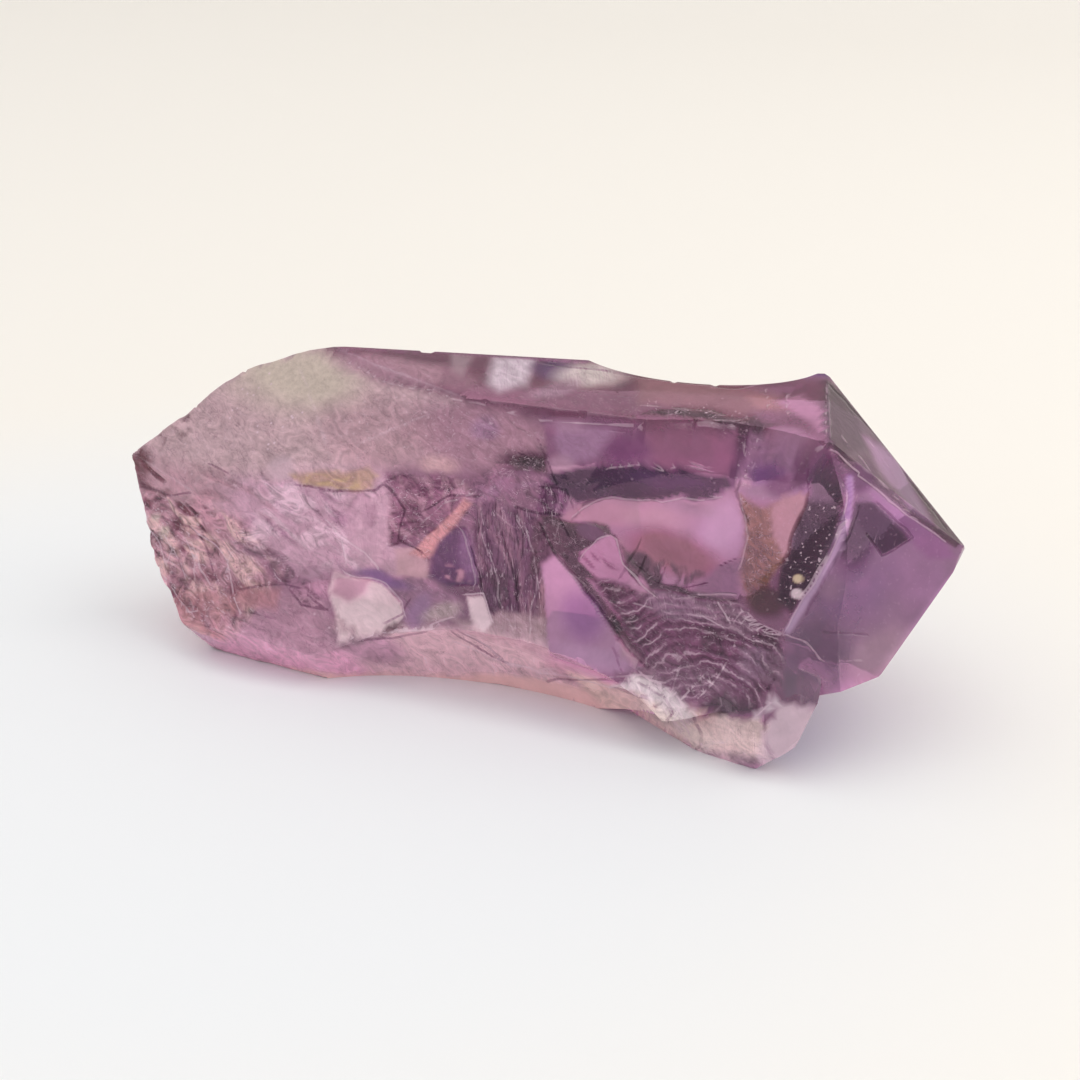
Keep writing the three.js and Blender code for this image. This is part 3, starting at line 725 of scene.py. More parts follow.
    Mark(patch((21.6, -0.9), (22.4, -1), (22.2, -5), (21.2, -4.6)), (104, 68, 98), DENSE, 0.8, 0.6, 0.3),

    # Large lilac window, with the tan break at its right. The window's lilac colours are painted light:
    # reflections of the stone's inner faces, lit through the stone from behind
    Mark(WINDOW, (156, 119, 144), GLASSY, 0.97, 0.3, 0.15, lift=-0.2),
    Mark(blot(11, -8.9, 3.6, 1.1, 14), (170, 124, 146), GLASSY, 0.8, 1.2),
    Mark(blot(15.6, -8.6, 2.6, 1), (176, 134, 152), GLASSY, 0.8, 1.6),
    Mark(blot(21.6, -8.6, 1.8, 2.6, -16), (174, 138, 164), GLASSY, 0.8, 2.4),
    Mark(blot(17.6, -11.4, 4.4, 1.7, -6), (128, 78, 94), GLASSY, 0.9, 2, drawn=(0, 0.15, 0, 0)),
    Mark(patch((14.8, -13.4), (17, -12.4), (20.6, -12.6), (19, -14.6), (16.4, -14.4)), (80, 46, 68), DENSE,
         0.85, 0.9, weave=streaks(84, 2, 0.6), drawn=FIBROUS),
    Mark(blot(14.6, -12.8, 1.3, 0.9, -30), (82, 46, 68), DENSE, 0.85, 0.8),
    Mark(patch((20.4, -13.2), (22.4, -11.6), (24.2, -11.2), (24.4, -14.6), (20, -14.8)), (122, 94, 114),
         GLASSY, 0.9, 0.8, drawn=(0.3, 0, 0, 0.2)),
    Mark(patch((12.6, -11.4), (14.6, -13), (17, -14.4), (24, -14.6), (24, -15.4), (16, -15.4)),
         (76, 44, 66), DENSE, 0.9, 0.7, 0.3, lift=-0.16, drawn=(0.5, 0, 0, 0.5)),
    Mark(patch((22.6, -5.3), (25, -6.4), (26.5, -5.2), (28.5, -5), (28.6, -7), (27.6, -10.5), (26.6, -13),
               (25.6, -15), (24.4, -11.6), (24, -9)), (138, 102, 99), SATIN, 0.95, 0.6, 0.25, lift=-0.1,
         drawn=(0, 0.3, 0, 0.9)),
    Mark(patch((25.6, -6.2), (26.7, -5), (28.6, -4.9), (28.6, -7), (27.5, -10.4), (26.2, -8.6)),
         (174, 130, 142), SATIN, 0.95, 0.5, 0.2, lift=0.1),
    Mark(blot(25.4, -12, 1.2, 3, 14), (126, 95, 90), SATIN, 0.85, 1, drawn=(0, 0.3, 0, 0.9)),
    Mark(blot(26.8, -14.4, 1.6, 1.4), (96, 69, 83), DENSE, 0.85, 1, lift=-0.15),
    Mark(INCLUSIONS, (74, 40, 66), DENSE, 0.95, 0.7, 0.3, drawn=(0, 0, 0, 0.4)),
    Mark(patch((28.6, -1.2), (31.4, -1.6), (31.8, -4), (30.6, -5.4), (28.7, -5.4)), (112, 73, 108), GLASSY,
         0.9, 0.8, drawn=(0.1, 0, 0, 0.1)),

    # Dark break, leaf and long lilac facet
    Mark(patch((4.6, -10), (11, -10), (15, -14.6), (10, -14.8), (17.4, -21.6), (16, -21.8), (8, -14)),
         (88, 54, 76), DENSE, 0.95, 0.5, 0.3, lift=-0.16, drawn=(0.3, 0, 0, 0.8)),
    Mark(blot(9.6, -10.8, 1.7, 0.7, -14), (112, 86, 106), DENSE, 0.9, 0.5, 0.2),
    Mark(LEAF, (166, 122, 150), GLASSY, 0.97, 0.3, 0.1, lift=0.22, drawn=(0.1, 0, 0, 0)),
    Mark(blot(10.8, -13.6, 2, 1, -14), (136, 90, 118), SATIN, 0.85, 0.8, weave=streaks(-24, 1.8, 0.5),
         lift=-0.08, drawn=(0.8, 0, 0, 0.2)),
    Mark(patch((10.4, -15.4), (16, -16), (18, -17.6), (14, -18), (17.4, -21.6), (13.6, -18.6)),
         (122, 86, 106), SATIN, 0.8, 0.8, weave=streaks(-40, 2, 0.7), lift=0.08, drawn=(0.7, 0, 0, 0.5)),
    Mark(LILAC_FACET, (182, 138, 168), GLASSY, 0.97, 0.3, 0.1, lift=0.25),
    Mark(patch((4, -10.4), (6.4, -10.2), (8.2, -12.8), (6.6, -13.2), (5.7, -14.2), (5.4, -15.4),
               (4.4, -15.2)), (98, 66, 88), DENSE, 0.92, 0.8, drawn=(0.3, 0.5, 0, 0.3)),
    Mark(blot(10.2, -18.2, 2.3, 1.7, -50), (150, 106, 152), GLASSY, 0.6, 2),
    Mark(blot(11.6, -21.6, 3.4, 0.8, -8), (182, 142, 172), GLASSY, 0.8, 0.9),
    Mark(patch((14, -19.2), (17.6, -22), (14.4, -21.4)), (174, 136, 156), GLASSY, 0.8, 0.5, 0.1),

    # The dish, its rings, feathers and scratches
    Mark(DISH, (122, 86, 108), DENSE, 0.95, 0.7, 0.3, drawn=(0.25, 0, 1, 0.3)),
    Mark(DISH, (88, 58, 80), DENSE, 0.58, 0.8, weave=speckle(1.8), lift=-0.12, drawn=(0.4, 0, 0.8, 0.5)),
    Mark(blot(20.5, -22.4, 4.6, 1.7, -8), (128, 98, 116), DENSE, 0.8, 1.2, drawn=(0.4, 0, 0.5, 0.3)),
    Mark(patch((25, -18.6), (29, -18.6), (28.8, -21.6), (25, -21)), (136, 108, 126), SATIN, 0.7, 0.8,
         drawn=(0, 0, 0.8, 0.2)),
    Mark(blot(18.6, -16.2, 3, 1.1, -6), (146, 116, 136), SATIN, 0.8, 0.7, drawn=FEATHERED),
    Mark(patch((19.4, -15.2), (24, -15.0), (26.3, -16.3), (26, -17.9), (22.6, -17.6)), (150, 120, 138),
         SATIN, 0.6, 0.6, lift=0.08, drawn=FEATHERED),
    Mark(blot(15.1, -14.9, 1.1, 0.5, -25), (176, 132, 158), SATIN, 0.85, 0.4),
    Mark(patch((22.2, -24.2), (23.5, -23.1), (26.6, -23.2), (27, -24), (24.6, -24.6), (23, -25)),
         (88, 66, 80), DENSE, 0.95, 0.5, 0.15, lift=-0.12),

    # Foot
    Mark(patch((10, -23.6), (22.5, -24.6), (22, -29), (15, -27)), (206, 176, 172), MILKY, 0.85, 0.8,
         drawn=FAINT),
    Mark(patch((14.1, -24.2), (15.7, -22.5), (17.5, -22.8), (19.7, -23.5), (22.5, -25.6), (22.9, -27.8),
               (20.5, -26.6), (17.9, -24.7), (15.7, -23.9)), (206, 188, 194), DENSE, 0.95, 0.5, 0.2,
         lift=0.12, drawn=(0.8, 0, 0, 0)),
    Mark(blot(17.6, -24.2, 3.2, 0.6, -34), (134, 112, 122), SATIN, 0.8, 0.5, weave=streaks(-34, 2.2, 0.6),
         lift=-0.12, drawn=SCRATCHED),
    Mark(patch((22.4, -25.4), (24.6, -24.7), (27.2, -24.1), (28.4, -25), (28.3, -27.6), (26, -29.5),
               (22, -29.5), (21.6, -27)), (184, 160, 160), FROSTED, 0.95, 0.5, 0.3, lift=0.1,
         drawn=(0, 0.2, 0, 0.4)),
    Mark(patch((23, -28), (28.4, -27.4), (28, -30.4), (22, -30.4)), (114, 94, 106), FROSTED, 0.9, 1.2,
         drawn=(0, 0, 0, 0.8)),
    Mark(blot(20.4, -26.4, 3.2, 1, -18), (216, 196, 192), MILKY, 0.8, 1, drawn=(0.5, 0, 0, 0)),
    Mark(patch((28.2, -24.8), (29, -22.7), (33, -22.2), (31, -26), (29.6, -29), (28.2, -28)),
         (226, 196, 210), SATIN, 0.95, 0.5, 0.15),
    Mark(patch((26.9, -24.2), (28.9, -21.9), (28.6, -23.4)), (206, 184, 196), SATIN, 0.9, 0.4, 0.1),

    # Side of the tip that faces front
    Mark(TIP_SIDE, (150, 117, 141), GLASSY, 1, 0.8, drawn=(0.05, 0, 0, 0)),
    Mark(blot(39, -9.6, 4, 2.6, -40), (158, 120, 150), GLASSY, 0.8, 2.4),
    Mark(blot(34.2, -12.4, 3.6, 2.3, 40), (146, 112, 142), GLASSY, 0.8, 2.8),
    Mark(blot(33.4, -7.6, 1.8, 3, -10), (88, 54, 84), DENSE, 0.85, 2),
    Mark(blot(31.8, -12.6, 1, 1, 0), (160, 126, 148), GLASSY, 0.7, 1.4),
    Mark(blot(31.6, -18, 2.6, 2.8), (130, 104, 124), GLASSY, 0.8, 2.4, drawn=(0.25, 0, 0, 0)),
    Mark(blot(37, -17.4, 3, 1.8, 40), (164, 132, 150), GLASSY, 0.8, 2),
    Mark(patch((29, -20.2), (33.5, -19.8), (33, -22.6), (29, -22.6)), (134, 108, 126), GLASSY, 0.85, 0.9),
    Mark(patch((32.9, -4.9), (34.8, -4.5), (36.6, -5.5), (38.8, -7.1), (36.1, -9.0), (33.5, -6.8)),
         (86, 36, 80), DENSE, 0.97, 0.5, 0.1),
    Mark(blot(37.4, -6.4, 1.3, 0.7, -30), (88, 46, 82), DENSE, 0.85, 0.8),
    Mark(patch((33.4, -3.4), (35.4, -4), (41.6, -6.6), (43, -8.2), (40.4, -8.6)), (152, 110, 144), GLASSY,
         0.85, 0.8),
    Mark(patch((29, 0.4), (29, 6.5), (33, 4), (45, -6), (43, -7.4), (36, -4), (31.6, -2.2)), (106, 76, 94),
         SATIN, 0.95, 0.5, drawn=(0.1, 0, 0, 0.1)),
    Mark(patch((29.4, 5.8), (31.8, 4.8), (33, 2.4), (33.2, 0.2), (31, -1), (29.4, 0.4)), (84, 44, 70),
         DENSE, 0.85, 0.9),
    Mark(patch((33.2, 1.2), (35.3, 0.8), (37.7, -1.2), (39.8, -4.2), (40.5, -5.6), (38.4, -4.7),
               (34.9, -1.7)), (152, 120, 146), GLASSY, 0.9, 0.9),
    Mark(blot(33, -2.5, 1.3, 1.7, -30), (104, 64, 98), DENSE, 0.85, 1),
    Mark(patch((28.6, -0.4), (31, -1.5), (32.2, -3.8), (30.6, -3), (28.7, -2.4)), (110, 71, 101), DENSE,
         0.8, 0.7),
    Mark(line(0.55, (31.9, -3), (32.2, -4.6), (32.2, -6.6), (31.8, -9), (31, -11.5), (30, -14),
              (28.9, -16.6)), (182, 150, 178), GLASSY, 0.97, 0.4, 0.1, lift=0.12),
    Mark(line(0.5, (31.9, -2.8), (32.2, -4.6), (32.2, -6.2)), (136, 98, 144), GLASSY, 0.8, 0.6, 0.1),
    Mark(blot(29.1, -12.1, 0.42, 0.38), (214, 188, 166), SATIN, 0.97, 0.3, 0, lift=0.15),
    Mark(blot(29.2, -13.4, 0.5, 0.44), (222, 196, 206), SATIN, 0.97, 0.3, 0, lift=0.15),
]

# Thin lines: how strong each one is and the places that it runs through. Pale ones are edges that catch the
# light, and dark ones are cracks and shaded edges.
PALE_LINES = [
    (0.9, (2.9, -1.4), (5.7, -1.2), (12, -0.9), (17.2, 0.1), (21.1, 0.4), (23.7, -0.4), (28.7, -0.3),
     (30.4, -0.8), (31.9, -1.7), (32.7, -2.3)),
    (0.85, (29.3, 5.6), (29.3, 3.4), (29.2, 0.6)),
    (1.0, (29, -16.9), (30.6, -17.4), (31.4, -17.9), (31.9, -18.5)),
    (0.8, (32.7, -2.6), (35.5, -3.9), (38.5, -5.4), (41.9, -6.9)),
    (0.85, (10.1, -5), (12.4, -4.5), (13.7, -4.2), (15.1, -4.3), (16.3, -3.8), (18.5, -3.9), (21.1, -3.8)),
    (0.85, (21.8, -23.6), (23, -21.9), (23.8, -20.2)),
    (0.85, (20.3, -23.9), (22.2, -21.2)),
    (0.75, (19.4, -23), (19.7, -21.1)),
    (0.85, (9.2, -13.1), (10.3, -11.4), (11.5, -10.7), (12, -10.9), (13.2, -13.1), (14.9, -14.6),
     (16.7, -15.7)),
    (0.8, (7.7, -9.5), (9.6, -8), (11.1, -7.5), (13.2, -7.1), (15.7, -7.2), (17.4, -6.5), (19, -6.5),
     (21, -5.9)),
    (1.0, (32.1, -6.6), (31.4, -9.4), (30.7, -11.6), (29.6, -14.2), (28.8, -16.4)),
    (0.9, (31.7, -4.2), (31.8, -6.6), (31.3, -9), (30.4, -11.5), (29.4, -14)),
    (0.9, (7.3, -24.4), (8.9, -24.2), (10.5, -24), (12.2, -24.1), (14.3, -24.2), (16, -22.6), (17.9, -22.8),
     (19.8, -23.7), (22.1, -25.1)),
    (0.9, (-30.5, -16.1), (-28, -17.1), (-25.8, -18.4), (-25.5, -19.2), (-24.7, -21.8), (-23.7, -23.2)),
    (0.9, (-36.2, -15.4), (-35.5, -17), (-33.9, -18.5), (-32.9, -20)),
    (0.85, (-31, -17.4), (-30, -18.9), (-29.2, -21)),
    (0.8, (-33, -18), (-31.4, -19.4), (-30.4, -21)),
    (1.0, (-10.4, -23.8), (-8.8, -23), (-6.9, -22.2), (-4.8, -21.6), (-2.2, -20.3)),
    (0.75, (-18.3, 2.4), (-16, 1.4), (-13.7, 0.6), (-10.9, 0.1), (-8.5, 0.1), (-2.9, -0.6), (0.9, -1.3)),
    (0.9, (-0.6, -21.5), (1.5, -22.6), (4, -24.1), (6.5, -24.1)),
    (0.85, (-13.4, -17.6), (-11.8, -18), (-9.2, -18.2), (-7.2, -19.6), (-6.6, -20.9)),
    (0.9, (-1.1, -18.2), (0.7, -17.9), (2, -20.2)),
    (0.9, (25.4, -15.7), (26.6, -16.5), (28.6, -16.8)),
    (0.7, (20.4, -14.7), (22.4, -14.4), (24.2, -14.3)),
    (0.5, (-17.6, 0.6), (-17.3, -0.6)),
    (0.5, (-2.6, -2.4), (-1.6, -3.4)),
    (0.7, (22.7, -5.4), (24.2, -9), (24, -12)),
    (0.7, (-3.2, -12), (-1.4, -14.8), (-0.4, -17.6)),
    (0.8, (-33.6, -17.2), (-32.5, -18.7), (-32.8, -20.2)),
    (0.8, (-30.4, -17.5), (-29.2, -19.6), (-27.4, -21.2)),
    (0.9, (-32, -22.1), (-30.4, -23.5), (-29.3, -24.3)),
    (0.8, (-30.1, -24.4), (-26.5, -23.3)),
    (0.75, (-25.5, -17.7), (-25.8, -20)),
    (0.8, (-33.8, -20.3), (-32.4, -21.5)),
    (0.5, (-10.3, -9.7), (-6.8, -11.8)),
    (0.55, (-8.3, -13.8), (-5.1, -10.3), (-2.1, -8.6)),
    (0.5, (-10, -12.3), (-7.3, -14.1)),
    (0.5, (-8.7, -1.9), (-6.1, -2.5), (-5.3, -4.1)),
    (0.55, (-1.2, -11.1), (0.3, -13.9), (2, -17.6), (4, -20.7)),
    (0.6, (2.9, -10.5), (4.6, -13.3), (5.6, -17.1), (5.4, -20.5)),
    (0.45, (0, -10), (2.6, -11.4), (4.6, -14.6)),
    (0.85, (-11.6, -23.9), (-6.6, -22.4), (-3.8, -21.7)),
    (0.75, (-15.1, -14.4), (-11.8, -15.7), (-10.2, -17.2)),
    (0.7, (-16.3, -13.2), (-14.5, -14.7), (-13.5, -16.8)),
    (0.8, (-1.9, -22.7), (2.6, -23.9), (4.5, -24.3), (6.9, -24.2), (8.9, -23.7)),
    (0.75, (23.8, 4.3), (23.9, 2.2)),
    (0.75, (25.7, 4.8), (25.9, 1.9)),
    (0.5, (11.6, 1.2), (17.4, 1.3), (21.8, 0.9)),
    (0.8, (21.9, -1.6), (23.6, -2.9), (22.8, -3.8)),
    (0.9, (25.3, -16.1), (27.1, -17.2), (28.7, -17)),
    (0.6, (21.5, -15.2), (22.6, -16.7)),
    (0.85, (22.4, -15.1), (23.7, -16.8)),
    (0.65, (23.5, -15.1), (24.8, -16.8)),
    (0.85, (24.6, -15.4), (25.9, -17)),
    (0.75, (21.3, -16.5), (23.2, -17.5)),
    (0.45, (5.9, -7.2), (7.4, -7.8), (7.2, -9.2)),
    (0.45, (4.4, -9.1), (6.8, -9.4)),
    (0.85, (26.9, -24.1), (28.5, -22.6)),
    (0.5, (30.9, 0.9), (33.9, -2.1), (40.7, -6.5)),
    (0.4, (33.6, 1), (37.1, -2.4), (39, -4.3)),
    (0.5, (32.2, -18.8), (36.6, -18.1)),
    (0.5, (8.2, -14.6), (11.7, -16.3), (15, -17.5)),
    (0.55, (14.9, -16.6), (18.5, -16.9), (21.5, -16.5)),
    (0.8, (32.2, -22.2), (31, -25), (29.4, -27.7)),
    (0.95, (13.8, -23.1), (16.6, -22.4), (20.4, -24.7), (22.2, -27)),
    (0.85, (15.4, -24), (18.6, -24.7), (21.2, -26.9)),
]

DARK_LINES = [
    (1.0, (4.8, -10.8), (7.2, -13.4), (10.7, -16.4), (13.8, -19.4), (17.2, -21.9)),
    (0.8, (11.8, -10.6), (13.6, -13.6), (15.2, -14.9)),
    (0.85, (35.1, -4.5), (38.9, -7.1), (36.1, -9.1), (34.4, -7.6)),
    (0.9, (22.2, -5.2), (23.6, -7.4)),
    (0.8, (-20.5, -10.4), (-16, -10.4), (-12, -9.7), (-10.5, -8.6)),
    (0.8, (-10.8, -24.1), (-7.6, -23.3), (-4.4, -22)),
    (0.75, (-1.6, -21.2), (1, -22.4), (3.4, -23.6)),
    (0.8, (28.5, -5.4), (28.5, -7.4), (27.4, -10.6)),
    (0.8, (-6.8, -22), (-8, -22.7), (-9.4, -23.2)),
    (0.8, (2.2, -9.4), (4.6, -9.8), (6.6, -9.6)),
    (0.8, (13.4, -20.6), (14.6, -22.4)),
    (0.7, (28.2, -21.2), (27.2, -23)),
    (0.7, (-30, -9.6), (-27.6, -10.4)),
    (0.8, (-34.2, -15.4), (-30.7, -16.1), (-27.8, -17.1)),
    (0.8, (-29.6, -16.4), (-27.1, -20.2), (-24.7, -23.5)),
    (0.9, (-24.5, -21), (-20.2, -19.8), (-17.7, -19.9)),
    (0.95, (-18.6, -20.3), (-17.2, -21.4), (-14.5, -21.5), (-16.7, -20.4)),
    (0.8, (-23.8, -22.9), (-19.5, -23.1)),
    (0.9, (-11.1, -9.3), (-8.8, -11.2), (-8.8, -13.9), (-6.2, -14.9)),
    (0.85, (-6.9, -11), (-4.4, -9.3), (-1.6, -8.9)),
    (0.9, (-1.6, -13.8), (0.3, -17.4), (1.9, -19.3)),
    (0.9, (1.4, -12), (3, -15.7), (4.5, -18.9)),
    (0.95, (-8.6, -21.9), (-6.9, -20.7), (-6.6, -19.4)),
    (0.8, (-2, -21.7), (1, -23.2), (4, -24.1)),
    (0.8, (-39.2, -8.7), (-37.8, -8), (-37, -7.1)),
    (0.8, (-37.8, -12.8), (-34.1, -13.1), (-31.3, -12.5)),
    (0.9, (2.9, -3.1), (4.4, -5.1), (5.7, -7.1)),
    (0.85, (1.4, -4.6), (3.3, -5.2), (4.1, -4.5)),
    (0.8, (1.8, 4.5), (11.2, 4.2), (20.9, 4.1), (25.7, 5.8)),
    (0.85, (24, 0.1), (22.7, -3.6), (22.4, -5.3), (23.9, -7.7)),
    (0.85, (27.3, -0.7), (28.3, -2), (28.6, -5.8), (27.7, -10.1)),
    (0.75, (33.4, -5.1), (32.5, -8.1), (31.2, -11.6), (30.1, -15.1)),
    (0.9, (4.1, -7.4), (6.8, -7.5), (7.7, -8.7)),
    (0.9, (5, -9.7), (6.3, -9.7), (7.6, -11.3)),
    (0.8, (22, -25.1), (23.3, -27.6), (22.8, -28.5)),
    (0.8, (27.9, -23.9), (28.2, -26.3), (29.4, -27.7)),
    (0.9, (29.6, 5.6), (35.3, 1.1), (42, -5.7)),
    (0.7, (31.8, -16.3), (35.6, -15.9)),
    (0.85, (2.9, -1.7), (11.9, -1.4), (23.5, -0.2)),
    (0.85, (8.3, -24.8), (13.8, -23.5), (15.9, -23.1), (18.8, -24.0), (20.8, -25.9)),
    (0.8, (14.6, -24.1), (17.1, -24.4), (21.5, -27.3)),
    (0.8, (13.1, -14.3), (13.7, -12.5), (14.5, -10.7)),
    (0.75, (14.4, -14.1), (15, -12.3)),
    (0.75, (16.7, -14.2), (17.2, -12.9)),
]

# Where small bright specks are strewn, and how thickly
SPECKS = [
    (INCLUSIONS, 1.0),
    (blot(30.4, -4.2, 1.4, 1.6), 0.6),
    (blot(17, 1.2, 5, 0.6), 0.8),
    (blot(22.8, -2.6, 0.8, 2.4), 0.7),
    (blot(24.6, -17.6, 4, 1.6), 0.5),
    (blot(-10, -3.6, 8, 3), 0.4),
    (blot(-34, -17, 3, 3), 0.5),
    (blot(33, -8, 9, 8), 0.15),
    (blot(24, -28, 3, 1), 0.8),
]


# How a milky surface looks in the studio: light on a level surface and on an upright one, what shines
# through, the sheen on top, and how dark and light its paint may be
TOP_LIGHT = 1.03
SIDE_LIGHT = 0.6
GLOW = (0.20, 0.12, 0.17)
SHEEN = 0.028
LEAST_PAINT = 0.5
DARKEST, LIGHTEST = 0.015, 0.9


def seen(colour):
    """A colour as the eye sees it, 0 to 255, as shares of full light."""
    value = np.array(colour) / 255
    return np.where(value <= 0.04045, value / 12.92, ((value + 0.055) / 1.055) ** 2.4)


def paint_for(colours, milk, normals):
    """The paint that makes a surface look as wanted, given its light and what shines through it."""
    light = SIDE_LIGHT + (TOP_LIGHT - SIDE_LIGHT) * normals[:, 2:]
    wanted = (colours - SHEEN - (1 - milk[:, None]) * np.array(GLOW)) / (milk[:, None] * light)
    wanted = np.maximum(wanted, np.maximum(colours / light * LEAST_PAINT, DARKEST))
    return wanted * np.minimum(1, LIGHTEST / wanted.max(1))[:, None]


def blend(a, b, share):
    """Goes from a to b by a share at each point."""
    return a + (np.array(b) - a) * share[:, None]


# Where the body turns violet along the stone, in mm, and how far clouds shift that
VIOLET_START = -4
VIOLET_END = 38
VIOLET_SHIFT = 14

# Between which values of their noise the body's clouds and veils come in, and between which shares of a broken
# face frost does
DEEP_CLOUDS = (0.15, 0.6)
LILAC_VEILS = (0.1, 0.6)
SATIN_VEILS = (0.2, 0.8)
FROST_SHARES = (0.2, 0.8)
PALE_CLOUDS = (-0.4, 0.5)

# How much of each colour the body takes at most, and how much pale colour a broken face takes at least
MOST_VIOLET = 0.9
MOST_DEEP = 0.7
MOST_LILAC = 0.8
LEAST_PALE = 0.5
MORE_PALE = 0.4


def body_paint(points, weights):
    """Colour and finish all round: paler and cloudier at the broken end, deep violet at the tip."""
    cloud = rough(points, size=14, octaves=3, seed=71)
    veil = rough(points * (0.5, 1, 1), size=6, octaves=4, seed=83)
    colour = np.tile(seen(MAUVE), (len(points), 1))
    along = points[:, 0] + VIOLET_SHIFT * cloud
    colour = blend(colour, seen(VIOLET), fade(along, VIOLET_START, VIOLET_END) * MOST_VIOLET)
    colour = blend(colour, seen(DEEP), fade(cloud, *DEEP_CLOUDS) * MOST_DEEP)
    colour = blend(colour, seen(LILAC), fade(veil, *LILAC_VEILS) * MOST_LILAC)
    finish = blend(np.tile(LIMPID, (len(points), 1)), SATIN, fade(veil, *SATIN_VEILS))
    grit = np.array([surface.grit for surface in SURFACES]) @ weights
    colour = blend(colour, seen(PALE), grit * (LEAST_PALE + MORE_PALE * fade(cloud, *PALE_CLOUDS)))
    return colour, blend(finish, FROSTED, fade(grit, *FROST_SHARES))


# How wide the border of a thin line fades, and how far the line wanders, in mm
LINE_FADE = 0.55
LINE_WANDER = 0.25


def lay_lines(lines, x, up):
    """How near each place is to a thin line, 0 to 1 times the line's strength, and its place across it.

    The second number runs from 0 on one side of the nearest line through a half on it to 1 on the other.
    """
    near, across = np.zeros(len(x)), np.zeros(len(x))
    for strength, *places in lines:
        for start, end in strokes(places):
            off = off_stroke(x, up, start, end) / LINE_FADE
            run, rise = np.subtract(end, start)
            side = np.sign(run * (up - start[1]) - rise * (x - start[0]))
            here = strength * (1 - off)
            closer = here > near
            near = np.where(closer, here, near)
            across = np.where(closer, 0.5 + 0.5 * side * off, across)
    return near, across


def lay_marks(points, colour, finish, facing):
    """Lays every mark on the points that face front.

    Gives the new colour and finish, the lift, the share of each fine line pattern, the nearness of thin
    pale lines, of thin dark lines and of specks, and the places across the pale and dark lines.
    """
    front = np.nonzero(facing > 0)[0]
    shown = facing[front]
    x, up = chart_of(points[front])
    flat = np.stack([x, up, 0 * x], 1)
    wander = [rough(flat, size=2.6, octaves=2, seed=seed) * WANDER for seed in (11, 23)]
    lift, drawn = np.zeros(len(points)), np.tile(HINTED, (len(points), 1))
    lines, across = np.zeros((len(points), 3)), np.zeros((len(points), 3))
    new_colour = blend(colour[front], seen(MAUVE), shown)
    new_finish = blend(finish[front], GLASSY, shown)
    new_drawn = blend(drawn[front], PLAIN, shown)
    for mark in MARKS:
        cover = mark.cover(x, up, wander) * shown
        new_colour = blend(new_colour, seen(mark.colour), cover)
        new_finish = blend(new_finish, mark.finish, cover)
        new_drawn = blend(new_drawn, mark.drawn, cover)
        lift[front] += cover * mark.lift
    colour[front], finish[front], drawn[front] = new_colour, new_finish, new_drawn
    near_x, near_up = x + LINE_WANDER * wander[0], up + LINE_WANDER * wander[1]
    for k, kind in enumerate((PALE_LINES, DARK_LINES)):
        near, across[front, k] = lay_lines(kind, near_x, near_up)
        lines[front, k] = near * shown
    for outline, amount in SPECKS:
        lines[front, 2] = np.maximum(lines[front, 2], amount * fade(0.5 - outline(near_x, near_up)) * shown)
    return colour, finish, lift, drawn, lines, across


def vertex_normals(points, faces):
    """The mean outward normal at each point, weighted by the area of the faces round it."""
    a, b, c = (points[faces[:, k]] for k in range(3))
    across = np.cross(b - a, c - a)
    total = np.stack([sum(np.bincount(faces[:, k], across[:, axis], len(points)) for k in range(3))
                      for axis in range(3)], 1)
    return total / np.maximum(np.linalg.norm(total, axis=1, keepdims=True), TINY)


def even_out(values, faces, rounds):
    """Averages values over each point's neighbours, a few times."""
    ends = np.concatenate([faces[:, (0, 1)], faces[:, (1, 2)], faces[:, (2, 0)]])
    count = np.bincount(ends[:, 0], minlength=len(values)) + 1
    for _ in range(rounds):
        totals = [np.bincount(ends[:, 0], column[ends[:, 1]], len(values)) for column in values.T]
        values = (values + np.stack(totals, 1)) / count[:, None]
    return values


def make_piece(name, points, faces, sharp=None):
    """A smooth mesh piece at the origin, from points in mm and faces.

    sharp is the angle in degrees from which the edges stay sharp.
    """
    mesh = bpy.data.meshes.new(name)
    mesh.vertices.add(len(points))
    mesh.vertices.foreach_set("co", (points * MM).ravel())
    corners = faces.shape[1]
    mesh.loops.add(faces.size)
    mesh.loops.foreach_set("vertex_index", faces.ravel())
    mesh.polygons.add(len(faces))
    mesh.polygons.foreach_set("loop_start", np.arange(len(faces)) * corners)
    mesh.polygons.foreach_set("use_smooth", np.ones(len(faces), bool))
    mesh.update(calc_edges=True)
    if sharp is not None:
        mesh.set_sharp_from_angle(angle=radians(sharp))
    piece = bpy.data.objects.new(name, mesh)
    bpy.context.scene.collection.objects.link(piece)
    return piece


def add_colours(piece, name, values):
    """Stores three or four numbers for each point under a name that materials can read."""
    layer = piece.data.color_attributes.new(name, "FLOAT_COLOR", "POINT")
    filled = np.pad(values, ((0, 0), (0, 4 - values.shape[1])), constant_values=1)
    layer.data.foreach_set("color", filled.ravel())


